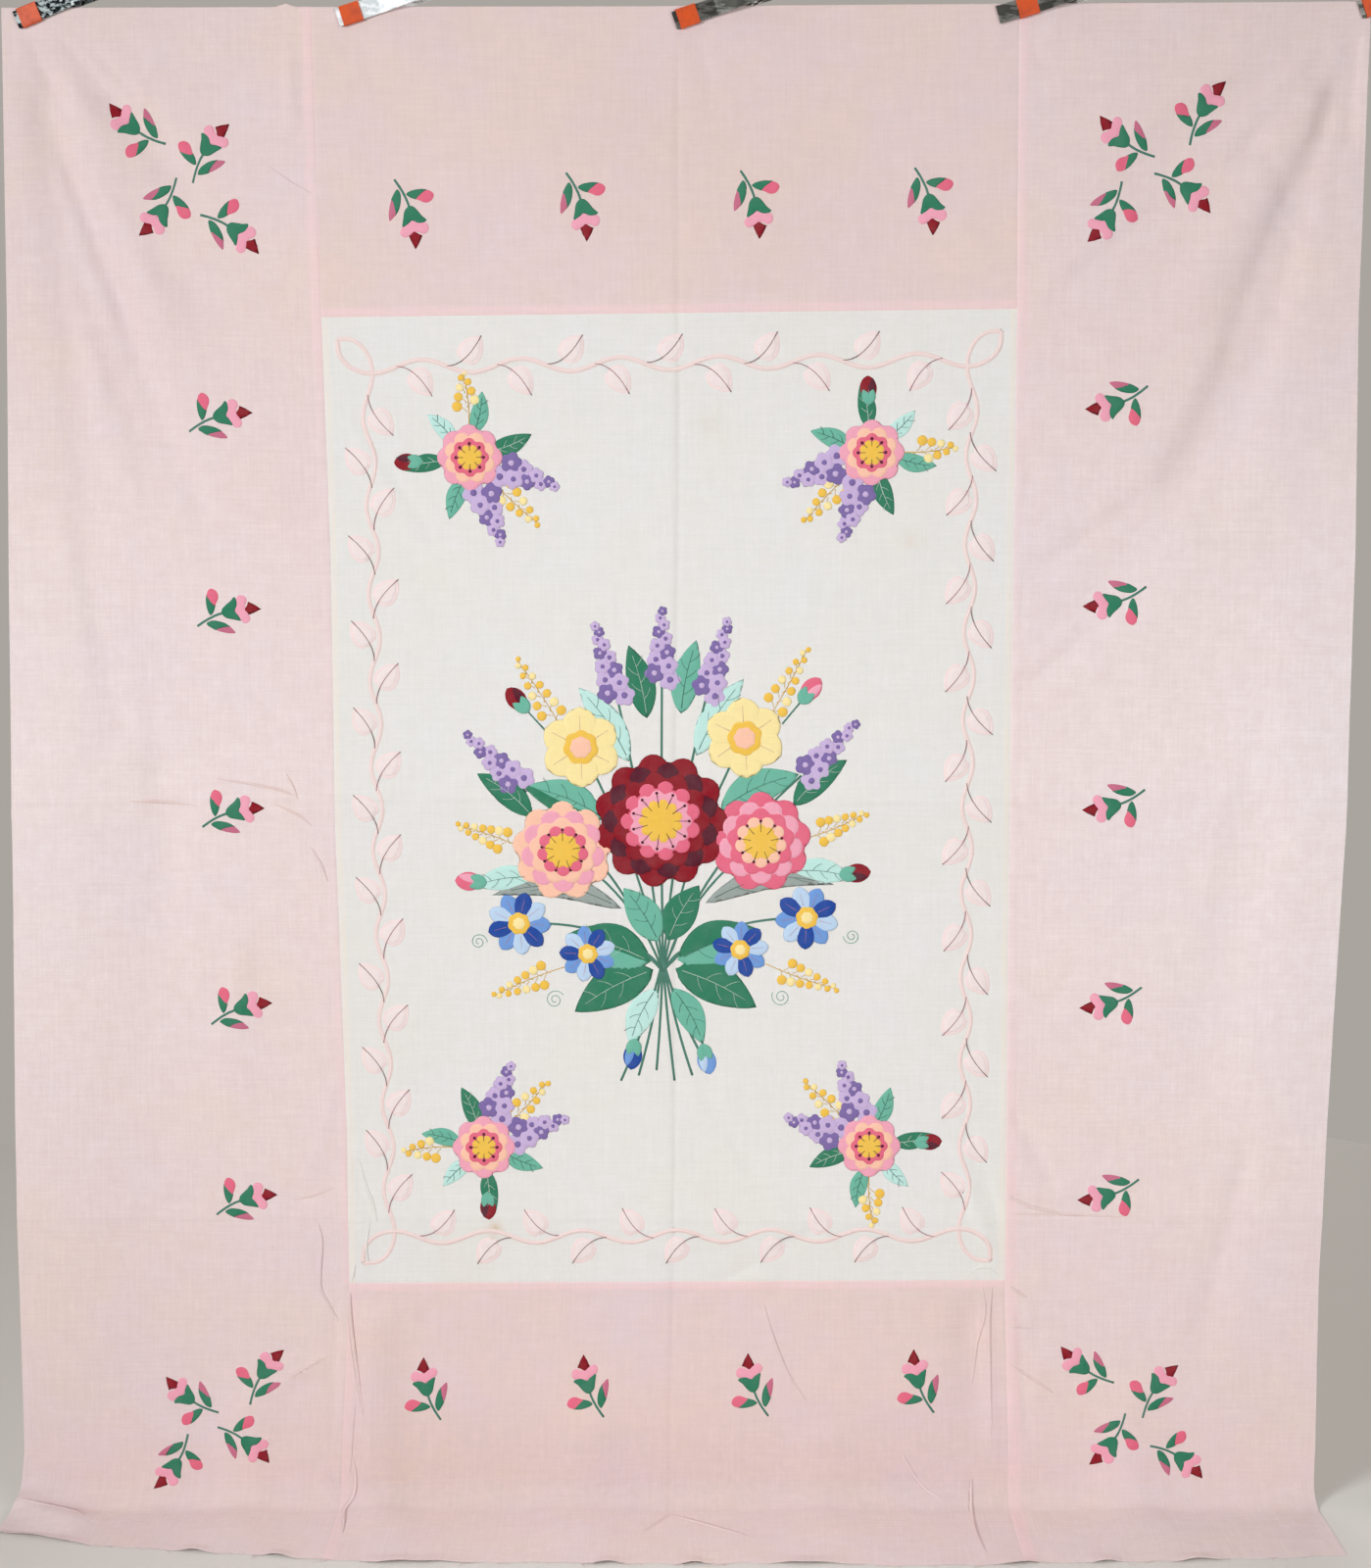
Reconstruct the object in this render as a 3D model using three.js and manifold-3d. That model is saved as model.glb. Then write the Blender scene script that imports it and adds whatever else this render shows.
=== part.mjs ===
// A pieced quilt top that hangs by its turned-over top edge from five spring clamps, its hem on the floor.
// Units are millimetres, +Z is up, and the face of the cloth looks towards -Y.
// The origin is the middle of the top edge.
import * as THREE from 'three';
import { mergeVertices } from 'three/addons/utils/BufferGeometryUtils.js';
import Module from 'manifold-3d';

const wasm = await Module();
wasm.setup();

// Flat sizes of the cloth: across from its middle line, drop from its top edge
const HALF_WIDTH = 1000;
const HALF_CENTRE = 500;
const TURN_BACK = 100;
const WHITE_TOP = 431;
const WHITE_BOTTOM = 1871;
const CLOTH = 1.5;
const SEAM_GAP = 0.4;

// How the cloth hangs: radii are those of the middle of its thickness
const FOLD_RADIUS = 1.6;
const BEND_RADIUS = 40;
const FLOOR = -2225;
const FULL_REACH = 210;
const CELL = 58;
const FOLD_STEPS = 4;
const BEND_STEPS = 6;

// Where the edges and the two long seams hang, row by row down the cloth
const HANG = [
  { drop: 0, leftEdge: -973, leftSeam: -533, rightSeam: 475, rightEdge: 975 },
  { drop: 434, leftEdge: -980, leftSeam: -526, rightSeam: 479, rightEdge: 972 },
  { drop: 769, leftEdge: -989, leftSeam: -519, rightSeam: 479, rightEdge: 979 },
  { drop: 1188, leftEdge: -997, leftSeam: -519, rightSeam: 480, rightEdge: 978 },
  { drop: 1634, leftEdge: -1008, leftSeam: -510, rightSeam: 483, rightEdge: 965 },
  { drop: 1863, leftEdge: -1010, leftSeam: -510, rightSeam: 484, rightEdge: 960 },
  { drop: 2142, leftEdge: -1012, leftSeam: -526, rightSeam: 495, rightEdge: 964 },
  { drop: 2230, leftEdge: -1022, leftSeam: -528, rightSeam: 494, rightEdge: 963 },
  { drop: 2420, leftEdge: -1040, leftSeam: -526, rightSeam: 490, rightEdge: 964 },
];

// How far the raw hem lies forward on the floor
const HEM = [
  { across: -1000, reach: 106 },
  { across: -880, reach: 137 },
  { across: -640, reach: 176 },
  { across: -420, reach: 201 },
  { across: 430, reach: FULL_REACH },
  { across: 720, reach: 197 },
  { across: 1000, reach: 181 },
];

// The top edge is a little higher on the right
const TOP_LINE = [
  { across: -1000, rise: -3 },
  { across: 0, rise: -1 },
  { across: 1000, rise: 6 },
];
const TOP_LINE_FADES = 430;

// Folds as soft ridges (height above zero) and troughs (below): two fans from the corner clamps,
// slack in the side panels, puckers by the lower seams and ripples where the cloth meets the floor
const FOLDS = [
  { across: -942, drop: 33, toAcross: -723, toDrop: 780, width: 46, height: -11 },
  { across: -923, drop: 26, toAcross: -668, toDrop: 290, width: 34, height: -7 },
  { across: -947, drop: 47, toAcross: -845, toDrop: 900, width: 40, height: -6 },
  { across: -930, drop: 60, toAcross: -700, toDrop: 560, width: 42, height: 7 },
  { across: -767, drop: 1040, toAcross: -775, toDrop: 1560, width: 62, height: -5 },
  { across: -925, drop: 700, toAcross: -905, toDrop: 2200, width: 105, height: 7 },
  { across: 981, drop: 26, toAcross: 722, toDrop: 850, width: 46, height: -9 },
  { across: 981, drop: 26, toAcross: 610, toDrop: 280, width: 38, height: -6 },
  { across: 945, drop: 90, toAcross: 700, toDrop: 520, width: 44, height: 6 },
  { across: 891, drop: 445, toAcross: 520, toDrop: 990, width: 48, height: -4 },
  { across: 885, drop: 1080, toAcross: 780, toDrop: 1680, width: 66, height: -3 },
  { across: 915, drop: 760, toAcross: 925, toDrop: 2200, width: 100, height: 4 },
  { across: -455, drop: 1890, toAcross: -430, toDrop: 2385, width: 40, height: 8 },
  { across: 445, drop: 1885, toAcross: 462, toDrop: 2330, width: 42, height: -6 },
  { across: -1010, drop: 2205, toAcross: -860, toDrop: 2300, width: 36, height: 12 },
  { across: -640, drop: 2020, toAcross: -655, toDrop: 2395, width: 58, height: 6 },
  { across: -130, drop: 2060, toAcross: -165, toDrop: 2395, width: 70, height: 5 },
  { across: 215, drop: 2090, toAcross: 230, toDrop: 2395, width: 64, height: 4 },
  { across: 690, drop: 2010, toAcross: 715, toDrop: 2395, width: 62, height: 5 },
];
const FOLD_NARROW = 0.6;
const FOLD_STARTS = 0.12;
const FOLD_ENDS = 0.3;
const CLAMPED_FLAT = 40;
const CLAMPED_FADES = 130;
const TROUGHS_FADE = 150;

// Lengths along the cloth's section, from the top edge down
const QUARTER_FOLD = (FOLD_RADIUS * Math.PI) / 2;
const FLOOR_MIDDLE = FLOOR + CLOTH / 2;
const BEND_START = QUARTER_FOLD - FOLD_RADIUS - FLOOR_MIDDLE - BEND_RADIUS;
const FLOOR_START = BEND_START + (BEND_RADIUS * Math.PI) / 2;
const END = FLOOR_START + FULL_REACH - BEND_RADIUS;

// Spring clamps: place and tilt of each, and how far its sleeve sits from the tip
const CLAMPS = [
  { name: 'clamp_1', x: -947, drop: 33, tilt: 22, sleeveFrom: 6 },
  { name: 'clamp_2', x: -491, drop: 30, tilt: 17.5, sleeveFrom: 6 },
  { name: 'clamp_3', x: -12, drop: 34, tilt: 18.5, sleeveFrom: 6 },
  { name: 'clamp_4', x: 448, drop: 26, tilt: 16.5, sleeveFrom: 29 },
  { name: 'clamp_5', x: 963, drop: 19, tilt: 21.5, sleeveFrom: 6 },
];
const CLEAR = 0.3;
const MERGE_WITHIN = 1e-4;
const STRAP = { width: 25, thick: 1.8 };
const SLEEVE = { length: 29, side: 1.3, face: 1.4, corner: 1.6 };
const GRIP_LENGTH = 42;
const GRIP_END = 3;
const CUT_PAST = 1;
const PINCH = FOLD_RADIUS + CLOTH / 2;
const JAW_OUT = PINCH + CLEAR + SLEEVE.face + CLEAR + STRAP.thick / 2;

// The middle of a clamp arm's strap: along from the tip, out from the pinched cloth
const ARM = [
  { along: 0, out: JAW_OUT },
  { along: 62, out: JAW_OUT },
  { along: 92, out: 10 },
  { along: 125, out: 14 },
  { along: 146, out: 18 },
  { along: 205, out: 33 },
];
const PIVOT = { along: 125, radius: 3, head: 4.5, headThick: 1.6 };
const EAR = { thick: 1.3, radius: 7, reach: 15, hole: PIVOT.radius + 0.45, inset: 0.2 };
const FRONT_EAR = STRAP.width / 2 - EAR.inset;
const BACK_EAR = FRONT_EAR - EAR.thick - CLEAR;
const COIL = { turns: 3, inner: PIVOT.radius + CLEAR, groove: 5, crest: 6.2 };
const COIL_HALF = BACK_EAR - EAR.thick - CLEAR;
const ROUND_STEPS = 8;
const ARC_STEPS = 3;

// Looks of the solids
const PINK = { color: 0xe6d0cb, roughness: 0.9, metalness: 0 };
const WHITE = { color: 0xe6e5e0, roughness: 0.9, metalness: 0 };
const STEEL = { color: 0xb9bcbd, roughness: 0.25, metalness: 1 };
const VINYL = { color: 0xd8622a, roughness: 0.45, metalness: 0 };

// A column of a table at a place between its rows
function lookUp(rows, key, column, at) {
  const last = rows.length - 1;
  const next = Math.min(Math.max(rows.findIndex((row) => row[key] > at), 1), last);
  const upper = at >= rows[last][key] ? last : next;
  const [a, b] = [rows[upper - 1], rows[upper]];
  const share = THREE.MathUtils.clamp((at - a[key]) / (b[key] - a[key]), 0, 1);
  return THREE.MathUtils.lerp(a[column], b[column], share);
}

// One fold's height: a soft bell across it that grows wider along it and dies out at both ends
function foldHeight(fold, across, drop) {
  const line = new THREE.Vector2(fold.toAcross - fold.across, fold.toDrop - fold.drop);
  const from = new THREE.Vector2(across - fold.across, drop - fold.drop);
  const share = from.dot(line) / line.lengthSq();
  const beside = from.cross(line) / line.length();
  const width = fold.width * THREE.MathUtils.lerp(FOLD_NARROW, 1, THREE.MathUtils.clamp(share, 0, 1));
  const starts = THREE.MathUtils.smoothstep(share, 0, FOLD_STARTS);
  const ends = THREE.MathUtils.smoothstep(share, 1 - FOLD_ENDS, 1);
  return fold.height * Math.exp(-((beside / width) ** 2)) * starts * (1 - ends);
}

// Height of the cloth off its plain section: flat under the clamps, and no trough goes below the floor
function relief(across, drop) {
  const depth = Math.abs(drop);
  const total = FOLDS.reduce((sum, fold) => sum + foldHeight(fold, across, depth), 0);
  const free = THREE.MathUtils.smoothstep(depth, CLAMPED_FLAT, CLAMPED_FADES);
  const floorNear = THREE.MathUtils.smoothstep(depth, BEND_START - TROUGHS_FADE, BEND_START);
  return free * (total > 0 ? total : total * (1 - floorNear));
}

// The plain section: over the top edge, down, round the bend and along the floor
function section(drop) {
  if (drop < -QUARTER_FOLD) {
    return { y: 2 * FOLD_RADIUS, z: drop + QUARTER_FOLD - FOLD_RADIUS, outY: 1, outZ: 0 };
  }
  if (drop < QUARTER_FOLD) {
    const [sin, cos] = [Math.sin(drop / FOLD_RADIUS), Math.cos(drop / FOLD_RADIUS)];
    return { y: FOLD_RADIUS * (1 - sin), z: FOLD_RADIUS * (cos - 1), outY: -sin, outZ: cos };
  }
  if (drop < BEND_START) {
    return { y: 0, z: QUARTER_FOLD - FOLD_RADIUS - drop, outY: -1, outZ: 0 };
  }
  const turn = Math.min((drop - BEND_START) / BEND_RADIUS, Math.PI / 2);
  const [sin, cos] = [Math.sin(turn), Math.cos(turn)];
  const along = Math.max(drop - FLOOR_START, 0);
  const height = BEND_RADIUS * (1 - sin);
  return { y: BEND_RADIUS * (cos - 1) - along, z: FLOOR_MIDDLE + height, outY: -cos, outZ: sin };
}

// Where a line across the cloth hangs: straight between the edges and the long seams
function hangX(across, drop) {
  const depth = Math.abs(drop);
  const line = ['leftEdge', 'leftSeam', 'rightSeam', 'rightEdge'].map((column, index) => ({
    across: [-HALF_WIDTH, -HALF_CENTRE, HALF_CENTRE, HALF_WIDTH][index],
    x: lookUp(HANG, 'drop', column, depth),
  }));
  return lookUp(line, 'across', 'x', across);
}

// A point of the cloth, half its thickness to the front (side 1) or to the back (side -1)
function clothPoint(across, drop, side) {
  const floorShare = (lookUp(HEM, 'across', 'reach', across) - BEND_RADIUS) / (FULL_REACH - BEND_RADIUS);
  const cut = drop > FLOOR_START ? FLOOR_START + (drop - FLOOR_START) * floorShare : drop;
  const { y, z, outY, outZ } = section(cut);
  const height = relief(across, cut);
  const [liftY, liftZ] = cut < BEND_START ? [-1, 0] : [outY, outZ];
  const rise = lookUp(TOP_LINE, 'across', 'rise', across);
  const risen = rise * (1 - THREE.MathUtils.smoothstep(cut, 0, TOP_LINE_FADES));
  const half = (side * CLOTH) / 2;
  return [hangX(across, cut), y + liftY * height + outY * half, z + liftZ * height + outZ * half + risen];
}

// Even steps no longer than a cell
function steps(from, to, count = Math.ceil((to - from) / CELL)) {
  return Array.from({ length: count }, (_, index) => THREE.MathUtils.lerp(from, to, index / count));
}

// Drops of a panel's rows, closer together round the fold and the bend
function rowDrops(from, to) {
  const stretches = [
    { from: -TURN_BACK, to: -QUARTER_FOLD },
    { from: -QUARTER_FOLD, to: QUARTER_FOLD, count: FOLD_STEPS },
    { from: QUARTER_FOLD, to: BEND_START },
    { from: BEND_START, to: FLOOR_START, count: BEND_STEPS },
    { from: FLOOR_START, to: END },
  ];
  const inside = stretches.filter((stretch) => stretch.to > from && stretch.from < to);
  const rows = inside.flatMap((stretch) =>
    steps(Math.max(stretch.from, from), Math.min(stretch.to, to), stretch.count));
  return [...rows, to];
}

// A closed sheet: a front grid, a back grid and a wall round the edge
function panelGeometry(fromAcross, toAcross, fromDrop, toDrop) {
  const columns = [...steps(fromAcross, toAcross), toAcross];
  const rows = rowDrops(fromDrop, toDrop);
  const grid = (side) => rows.flatMap((drop) => columns.map((across) => clothPoint(across, drop, side)));
  const points = [...grid(1), ...grid(-1)];
  const back = rows.length * columns.length;
  const at = (row, column) => row * columns.length + column;
  const faces = [];
  for (let row = 0; row < rows.length - 1; row += 1) {
    for (let column = 0; column < columns.length - 1; column += 1) {
      const [a, b] = [at(row, column), at(row, column + 1)];
      const [c, d] = [at(row + 1, column), at(row + 1, column + 1)];
      faces.push(a, c, b, b, c, d);
      faces.push(back + a, back + b, back + c, back + b, back + d, back + c);
    }
  }
  const wall = (a, b) => faces.push(a, b, back + a, b, back + b, back + a);
  for (let row = 0; row < rows.length - 1; row += 1) {
    wall(at(row + 1, 0), at(row, 0));
    wall(at(row, columns.length - 1), at(row + 1, columns.length - 1));
  }
  for (let column = 0; column < columns.length - 1; column += 1) {
    wall(at(0, column), at(0, column + 1));
    wall(at(rows.length - 1, column + 1), at(rows.length - 1, column));
  }
  const geometry = new THREE.BufferGeometry();
  geometry.setAttribute('position', new THREE.Float32BufferAttribute(points.flat(), 3));
  geometry.setIndex(faces);
  return geometry;
}

// A three.js geometry as a solid that can be joined and cut, and back again
function toSolid(geometry) {
  const bare = geometry.clone();
  bare.deleteAttribute('normal');
  bare.deleteAttribute('uv');
  const merged = mergeVertices(bare, MERGE_WITHIN);
  const vertProperties = new Float32Array(merged.attributes.position.array);
  const triVerts = new Uint32Array(merged.index.array);
  return new wasm.Manifold(new wasm.Mesh({ numProp: 3, vertProperties, triVerts }));
}

function toGeometry(solid) {
  const mesh = solid.getMesh();
  const geometry = new THREE.BufferGeometry();
  geometry.setAttribute('position', new THREE.BufferAttribute(new Float32Array(mesh.vertProperties), 3));
  geometry.setIndex(new THREE.BufferAttribute(new Uint32Array(mesh.triVerts), 1));
  return geometry;
}

// A flat outline with thickness, centred on its own plane
function plate(shape, thick) {
  const options = { depth: thick, bevelEnabled: false, curveSegments: ARC_STEPS };
  return new THREE.ExtrudeGeometry(shape, options).translate(0, 0, -thick / 2);
}

// The bent strap of a clamp arm: its middle line thickened to both sides
function strapShape() {
  const middle = ARM.map((row) => new THREE.Vector2(row.along, row.out));
  const sides = middle.map((_, index) => {
    const before = middle[Math.max(index - 1, 0)];
    const after = middle[Math.min(index + 1, middle.length - 1)];
    const along = after.clone().sub(before).normalize();
    return new THREE.Vector2(-along.y, along.x).multiplyScalar(STRAP.thick / 2);
  });
  const upper = middle.map((point, index) => point.clone().add(sides[index]));
  const lower = middle.map((point, index) => point.clone().sub(sides[index]));
  return new THREE.Shape([...lower, ...upper.reverse()]);
}

// One ear of an arm: from the strap down round the pivot pin
function earShape() {
  const shape = new THREE.Shape();
  const [first, last] = [PIVOT.along - EAR.reach, PIVOT.along + EAR.reach];
  shape.moveTo(first, lookUp(ARM, 'along', 'out', first));
  shape.lineTo(PIVOT.along - EAR.radius, 0);
  shape.absarc(PIVOT.along, 0, EAR.radius, Math.PI, 2 * Math.PI);
  shape.lineTo(last, lookUp(ARM, 'along', 'out', last));
  shape.lineTo(PIVOT.along, lookUp(ARM, 'along', 'out', PIVOT.along));
  const hole = new THREE.Path();
  hole.absarc(PIVOT.along, 0, EAR.hole, 0, 2 * Math.PI);
  shape.holes.push(hole);
  return shape;
}

// A clamp arm: its strap and the two ears that stand in from the strap's edges
function armGeometry(earOutside) {
  const strap = toSolid(plate(strapShape(), STRAP.width));
  const earMiddle = earOutside - EAR.thick / 2;
  const ears = [-earMiddle, earMiddle].map((z) => toSolid(plate(earShape(), EAR.thick).translate(0, 0, z)));
  return toGeometry(strap.add(ears[0]).add(ears[1]));
}

// A bar along +X with rounded corners
function barGeometry(halfWide, halfThick, length) {
  const [x, y, corner] = [halfWide, halfThick, SLEEVE.corner];
  const shape = new THREE.Shape();
  shape.moveTo(x, y - corner);
  shape.absarc(x - corner, y - corner, corner, 0, Math.PI / 2);
  shape.absarc(corner - x, y - corner, corner, Math.PI / 2, Math.PI);
  shape.absarc(corner - x, corner - y, corner, Math.PI, 1.5 * Math.PI);
  shape.absarc(x - corner, corner - y, corner, 1.5 * Math.PI, 2 * Math.PI);
  const geometry = new THREE.ExtrudeGeometry(shape, { depth: length, bevelEnabled: false, curveSegments: 1 });
  return geometry.rotateY(Math.PI / 2);
}

// A vinyl sleeve round the strap: open at both ends, or closed by an end wall
function sleeveGeometry(length, endWall) {
  const slotWide = STRAP.width / 2 + CLEAR;
  const slotThick = STRAP.thick / 2 + CLEAR;
  const outer = barGeometry(slotWide + SLEEVE.side, slotThick + SLEEVE.face, length);
  const depth = endWall > 0 ? length - endWall : length + CUT_PAST;
  const slot = new THREE.BoxGeometry(depth + CUT_PAST, 2 * slotThick, 2 * slotWide);
  slot.translate((depth - CUT_PAST) / 2, 0, 0);
  return toGeometry(toSolid(outer).subtract(toSolid(slot)));
}

// The pivot pin with a head at each end, and the ridged coil of the spring round it
function pinGeometry() {
  const shank = FRONT_EAR + CLEAR;
  const outside = shank + PIVOT.headThick;
  const profile = [[0, -outside], [PIVOT.head, -outside], [PIVOT.head, -shank], [PIVOT.radius, -shank],
    [PIVOT.radius, shank], [PIVOT.head, shank], [PIVOT.head, outside], [0, outside]];
  const points = profile.map(([radius, height]) => new THREE.Vector2(radius, height));
  return new THREE.LatheGeometry(points, ROUND_STEPS).rotateX(Math.PI / 2).translate(PIVOT.along, 0, 0);
}

function coilGeometry() {
  const pitch = (2 * COIL_HALF) / COIL.turns;
  const outer = Array.from({ length: 2 * COIL.turns + 1 }, (_, index) =>
    new THREE.Vector2(index % 2 ? COIL.crest : COIL.groove, -COIL_HALF + (index * pitch) / 2));
  const inner = [COIL_HALF, -COIL_HALF].map((height) => new THREE.Vector2(COIL.inner, height));
  const profile = [...outer, ...inner, outer[0].clone()];
  return new THREE.LatheGeometry(profile, ROUND_STEPS).rotateX(Math.PI / 2).translate(PIVOT.along, 0, 0);
}

function namedMesh(name, geometry, look) {
  const mesh = new THREE.Mesh(geometry, new THREE.MeshStandardMaterial(look));
  mesh.name = name;
  return mesh;
}

// One half of a clamp: arm, tip sleeve and handle grip; the back half is the front one turned over
function clampHalf(name, turn, earOutside, sleeveFrom) {
  const half = new THREE.Group();
  half.rotation.x = turn;
  half.add(namedMesh(`${name}_arm`, armGeometry(earOutside), STEEL));
  const tip = sleeveGeometry(SLEEVE.length, 0).translate(sleeveFrom, JAW_OUT, 0);
  half.add(namedMesh(`${name}_tip`, tip, VINYL));
  const [start, end] = ARM.slice(-2);
  const slope = Math.atan2(end.out - start.out, end.along - start.along);
  const grip = sleeveGeometry(GRIP_LENGTH, GRIP_END).translate(GRIP_END + CLEAR - GRIP_LENGTH, 0, 0);
  grip.rotateZ(slope).translate(end.along, end.out, 0);
  half.add(namedMesh(`${name}_grip`, grip, VINYL));
  return half;
}

// A clamp with the lower corner of its tip at its place on the cloth, its arms rising to the right
function springClamp({ name, x, drop, tilt, sleeveFrom }) {
  const clamp = new THREE.Group();
  const angle = THREE.MathUtils.degToRad(tilt);
  const halfWide = STRAP.width / 2;
  clamp.position.set(x - halfWide * Math.sin(angle), FOLD_RADIUS, halfWide * Math.cos(angle) - drop);
  clamp.rotation.set(Math.PI, -angle, 0, 'YXZ');
  clamp.add(clampHalf(`${name}_front`, 0, FRONT_EAR, sleeveFrom));
  clamp.add(clampHalf(`${name}_back`, Math.PI, BACK_EAR, sleeveFrom));
  clamp.add(namedMesh(`${name}_pin`, pinGeometry(), STEEL));
  clamp.add(namedMesh(`${name}_spring`, coilGeometry(), STEEL));
  return clamp;
}

// The five panels, sewn edge to edge
const half = SEAM_GAP / 2;
const centre = [half - HALF_CENTRE, HALF_CENTRE - half];
const PANELS = [
  { name: 'left_panel', look: PINK, across: [-HALF_WIDTH, -HALF_CENTRE - half], drop: [-TURN_BACK, END] },
  { name: 'right_panel', look: PINK, across: [HALF_CENTRE + half, HALF_WIDTH], drop: [-TURN_BACK, END] },
  { name: 'top_panel', look: PINK, across: centre, drop: [-TURN_BACK, WHITE_TOP - half] },
  { name: 'white_panel', look: WHITE, across: centre, drop: [WHITE_TOP + half, WHITE_BOTTOM - half] },
  { name: 'bottom_panel', look: PINK, across: centre, drop: [WHITE_BOTTOM + half, END] },
];

const quiltTop = new THREE.Group();
for (const { name, look, across, drop } of PANELS) {
  quiltTop.add(namedMesh(name, panelGeometry(...across, ...drop), look));
}
for (const place of CLAMPS) {
  quiltTop.add(springClamp(place));
}

export default quiltTop;
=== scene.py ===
"""Looks of a pieced and appliqued quilt top that hangs in spring clamps, its raw hem on the floor."""
import math
from collections import namedtuple

import bpy
import numpy as np
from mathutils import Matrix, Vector
from mathutils.geometry import delaunay_2d_cdt


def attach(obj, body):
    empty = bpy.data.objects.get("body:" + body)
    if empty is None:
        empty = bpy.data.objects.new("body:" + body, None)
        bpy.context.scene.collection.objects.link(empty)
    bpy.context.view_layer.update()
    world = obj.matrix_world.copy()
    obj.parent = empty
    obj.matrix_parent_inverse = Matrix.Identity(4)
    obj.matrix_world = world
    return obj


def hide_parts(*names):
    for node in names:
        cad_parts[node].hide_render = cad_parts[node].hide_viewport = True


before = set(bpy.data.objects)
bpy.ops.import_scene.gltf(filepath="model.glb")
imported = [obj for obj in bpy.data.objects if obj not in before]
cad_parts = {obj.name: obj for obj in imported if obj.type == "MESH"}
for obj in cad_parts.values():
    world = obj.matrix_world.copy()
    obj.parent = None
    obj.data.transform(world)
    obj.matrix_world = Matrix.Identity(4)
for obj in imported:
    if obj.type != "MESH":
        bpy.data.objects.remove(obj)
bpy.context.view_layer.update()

MM = 0.001
RNG = np.random.default_rng(11)

# Flat sizes of the cloth in millimetres: across from its middle line, drop from its top edge
HALF_WIDTH = 1000
HALF_CENTRE = 500
TURN_BACK = 100
WHITE_TOP = 431
WHITE_BOTTOM = 1871
HALF_CLOTH = 0.4
ALLOWANCE = 13
# The seams above and below the white panel, and which way their allowances lie
CROSS_SEAMS = ((WHITE_TOP, -1), (WHITE_BOTTOM, 1))

# How the cloth hangs: radii are those of the middle of its thickness
FOLD_RADIUS = 1.6
BEND_RADIUS = 40
FLOOR = -2225
FLOOR_MIDDLE = FLOOR + 0.75
FULL_REACH = 210
QUARTER_FOLD = FOLD_RADIUS * math.pi / 2
BEND_START = QUARTER_FOLD - FOLD_RADIUS - FLOOR_MIDDLE - BEND_RADIUS
FLOOR_START = BEND_START + BEND_RADIUS * math.pi / 2
END = FLOOR_START + FULL_REACH - BEND_RADIUS

# Where the edges and the two long seams hang: drop, left edge, left seam, right seam, right edge
HANG = np.array([
    (0, -973, -533, 475, 975), (434, -980, -526, 479, 972), (769, -989, -519, 479, 979),
    (1188, -997, -519, 480, 978), (1634, -1008, -510, 483, 965), (1863, -1010, -510, 484, 960),
    (2142, -1012, -526, 495, 964), (2230, -1022, -528, 494, 963), (2420, -1040, -526, 490, 964),
], float)
SEAM_LINES = (-HALF_WIDTH, -HALF_CENTRE, HALF_CENTRE, HALF_WIDTH)

# How far the raw hem lies forward on the floor: across, reach
HEM = np.array([
    (-1000, 106), (-880, 137), (-640, 176), (-420, 201), (430, FULL_REACH), (720, 197), (1000, 181),
], float)
# Its small ripples: height, length, shift
HEM_RIPPLES = ((1.6, 23, 0), (1.2, 9.7, 1), (1.8, 61, 2))
HEM_CURL = 5
HEM_CURLS_FROM = 30

# The top edge is a little higher on the right: across, rise
TOP_LINE = np.array([(-1000, -3), (0, -1), (1000, 6)], float)
TOP_LINE_FADES = 430

# Main folds as in the solids, the long one at the upper right a little softer. Troughs are below zero
Fold = namedtuple("Fold", "across drop to_across to_drop width height")
FOLDS = [Fold(*row) for row in (
    (-942, 33, -723, 780, 46, -11), (-923, 26, -668, 290, 34, -7), (-947, 47, -845, 900, 40, -6),
    (-930, 60, -700, 560, 42, 7), (-767, 1040, -775, 1560, 62, -5), (-925, 700, -905, 2200, 105, 7),
    (981, 26, 722, 850, 54, -7), (981, 26, 610, 280, 38, -6), (945, 90, 700, 520, 44, 6),
    (891, 445, 520, 990, 48, -4), (885, 1080, 780, 1680, 66, -3), (915, 760, 925, 2200, 100, 4),
    (-455, 1890, -430, 2385, 40, 8), (445, 1885, 462, 2330, 42, -6), (-1010, 2214, -860, 2300, 36, 12),
    (-640, 2020, -655, 2395, 58, 6), (-130, 2060, -165, 2395, 70, 5), (215, 2090, 230, 2395, 64, 4),
    (690, 2010, 715, 2395, 62, 5),
)]
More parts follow.
